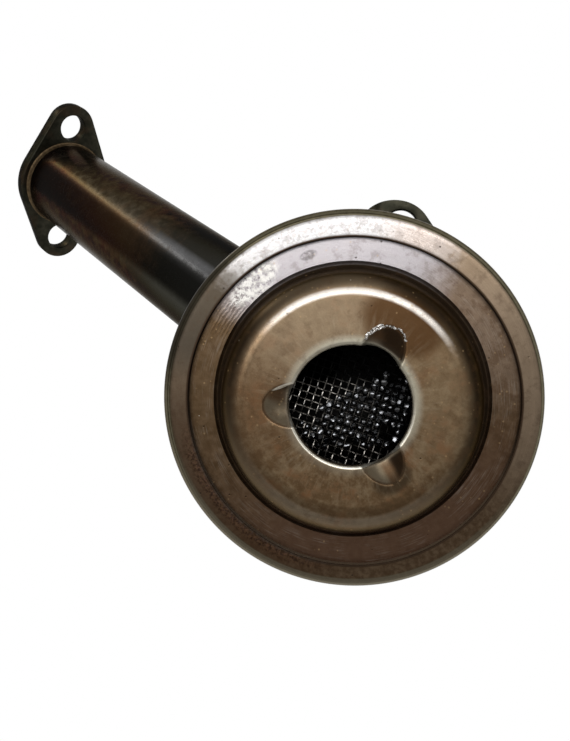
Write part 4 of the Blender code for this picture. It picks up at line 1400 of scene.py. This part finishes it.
foot_points = []
for i in range(5):
    radius = SEATED + (TUBE_RADIUS + FIT_GAP + BELL_BEAD_WIDTH - SEATED) * i / 4
    foot_points.append((radius, math.sqrt(BEAD_SEAT**2 - radius**2)))
corner, foot, tip = foot_points[0], foot_points[-1], (SEATED, foot_points[0][1] + BELL_BEAD_HEIGHT)
section = foot_points[:-1] + bead_section(corner, foot, tip)[1:]
bell_bead = to_object("bell_bead", turned(section, TUBE_SIDES), TO_TUBE)
section = bead_section((SEATED, FLANGE_DISTANCE), (SEATED + FLANGE_BEAD_WIDTH, FLANGE_DISTANCE),
                       (SEATED, FLANGE_DISTANCE - FLANGE_BEAD_HEIGHT))
flange_bead = to_object("flange_bead", turned(section, TUBE_SIDES), TO_TUBE)
section = bead_section((WALL_AT_TAB, TAB_DEPTH), (WALL_AT_TAB + WELD_WIDTH, TAB_DEPTH),
                       (WALL_AT_TAB + WELD_TIP_WIDTH, TAB_DEPTH - WELD_HEIGHT))
weld = to_object("tab_weld", turned(section, WELD_SIDES, None, WELD_SWEEP, WELD_START), TO_TAB)
tell(weld)

# %% [markdown]
# ## Finishing the pieces
# Each piece now meets its material and its solid. The bell is one sheet but has two finishes, so its faces
# that look into the hollow get a second material. They are known by where they lie and where they face.

# %% Finish the pieces
POCKET_MARGIN = 0.002
LOOKS_DOWN = -0.9

for body, finish, slot, node in (
        (bell, bell_steel, "bell_steel", "bell_housing"),
        (cover, cover_steel, "cover_steel", "inlet_cover"),
        (cloth, wire_steel, "screen_wire", "strainer_screen"),
        (drops, black_oil, "screen_wire", None),
        (tube, tube_steel, "tube_steel", "pickup_tube"),
        (flange, ear_steel, "ear_steel", "tube_flange"),
        (bracket, ear_steel, "ear_steel", "strainer_bracket"),
        (bell_bead, filler_metal, "filler", "bell_joint_bead"),
        (flange_bead, filler_metal, "filler", "flange_joint_bead"),
        (weld, filler_metal, "filler", "bracket_weld")):
    finish_piece(body, finish, node)

bell.data.materials.append(soaked.material)
for face in bell.data.polygons:
    out = face.center - HEAD
    around = face.center - BALL_CENTRE if out.z > BALL_DEPTH else Vector((out.x, out.y, 0))
    looks_in = around.dot(face.normal) < 0 or face.normal.z < LOOKS_DOWN
    if looks_in and out.z > COVER_FRONT and out.xy.length < RIM_RADIUS - POCKET_MARGIN:
        face.material_index = 1

# %% [markdown]
# ## Floor
# The object floats in front of white paper in the photo. The floor lies well below the camera, because the
# camera looks up.

# %% Make the floor
FLOOR_DROP = 0.40
FLOOR_HALF = 1.5

bm = bmesh.new()
bmesh.ops.create_grid(bm, x_segments=1, y_segments=1, size=FLOOR_HALF)
floor = to_object("floor", bm, Matrix.Translation(HEAD - UPWARD * FLOOR_DROP))
floor_paint = Finish("pale_floor")
floor_cloud = floor_paint.noise(centred(floor_paint, HEAD), 0.02)
floor_paint.set(Base_Color=floor_paint.mix(floor_cloud, (214,) * 3, (220,) * 3), Roughness=0.9)
floor.data.materials.append(floor_paint.material)
print(f"floor {FLOOR_DROP * 1000:.0f} mm below the head")

# %% [markdown]
# ## Light
# A big soft lamp from the picture's top gives the long highlights, a narrow strip in it gives them a bright
# core, and a strip at the side lights the tube. The world is white only for what the camera sees, directly or
# in a reflection, so it lights the object at a plain level.

# %% Light the scene
WORLD_STRENGTH = 0.58
SEEN_AS_WHITE = ("Is Camera Ray", "Is Glossy Ray", "Is Transmission Ray")

world = bpy.data.worlds.new("studio")
scene.world = world
world.use_nodes = True
studio = Tree(world.node_tree)
camera_ray, glossy_ray, clear_ray = (studio.node("ShaderNodeLightPath", output=ray) for ray in SEEN_AS_WHITE)
white = camera_ray.math("MAXIMUM", glossy_ray).math("MAXIMUM", clear_ray)
strength = studio.node("ShaderNodeMapRange", {"Value": white, "To Min": WORLD_STRENGTH})
studio.fill(world.node_tree.nodes["Background"], {"Color": (1, 1, 1, 1), "Strength": strength})


def lamp(name, target, way, distance, width, height, brightness):
    """A soft lamp at a distance from its target along a direction, seen in reflections as that bright."""
    offset = way.normalized() * distance
    data = bpy.data.lights.new(name, "AREA")
    data.shape = "RECTANGLE"
    data.size = width
    data.size_y = height
    data.energy = math.pi * width * height * brightness
    made = bpy.data.objects.new(name, data)
    scene.collection.objects.link(made)
    made.location = target + offset
    made.rotation_mode = "QUATERNION"
    made.rotation_quaternion = offset.to_track_quat("Z", "Y")
    made.visible_camera = False
    print(f"{name} lamp: {data.energy:.2f} W")


def below(picture_angle, tilt):
    """The direction that leans from straight down towards an angle in the picture."""
    lean = math.radians(tilt)
    return on_face(picture_angle) * math.sin(lean) - UPWARD * math.cos(lean)


lamp("key", HEAD, below(101, 25), 0.32, 0.40, 0.23, 1.6)
lamp("strip", HEAD, below(99, 19), 0.32, 0.34, 0.03, 7.0)
lamp("side_strip", BALL_CENTRE + TUBE_WAY * 0.08, Vector((0.95, 0.24, 0.19)), 0.5, 0.025, 0.30, 17.0)

# %% [markdown]
# ## View transform
# The picture is shown with Blender's Standard view transform.

# %% Set the view transform
scene.view_settings.view_transform = "Standard"
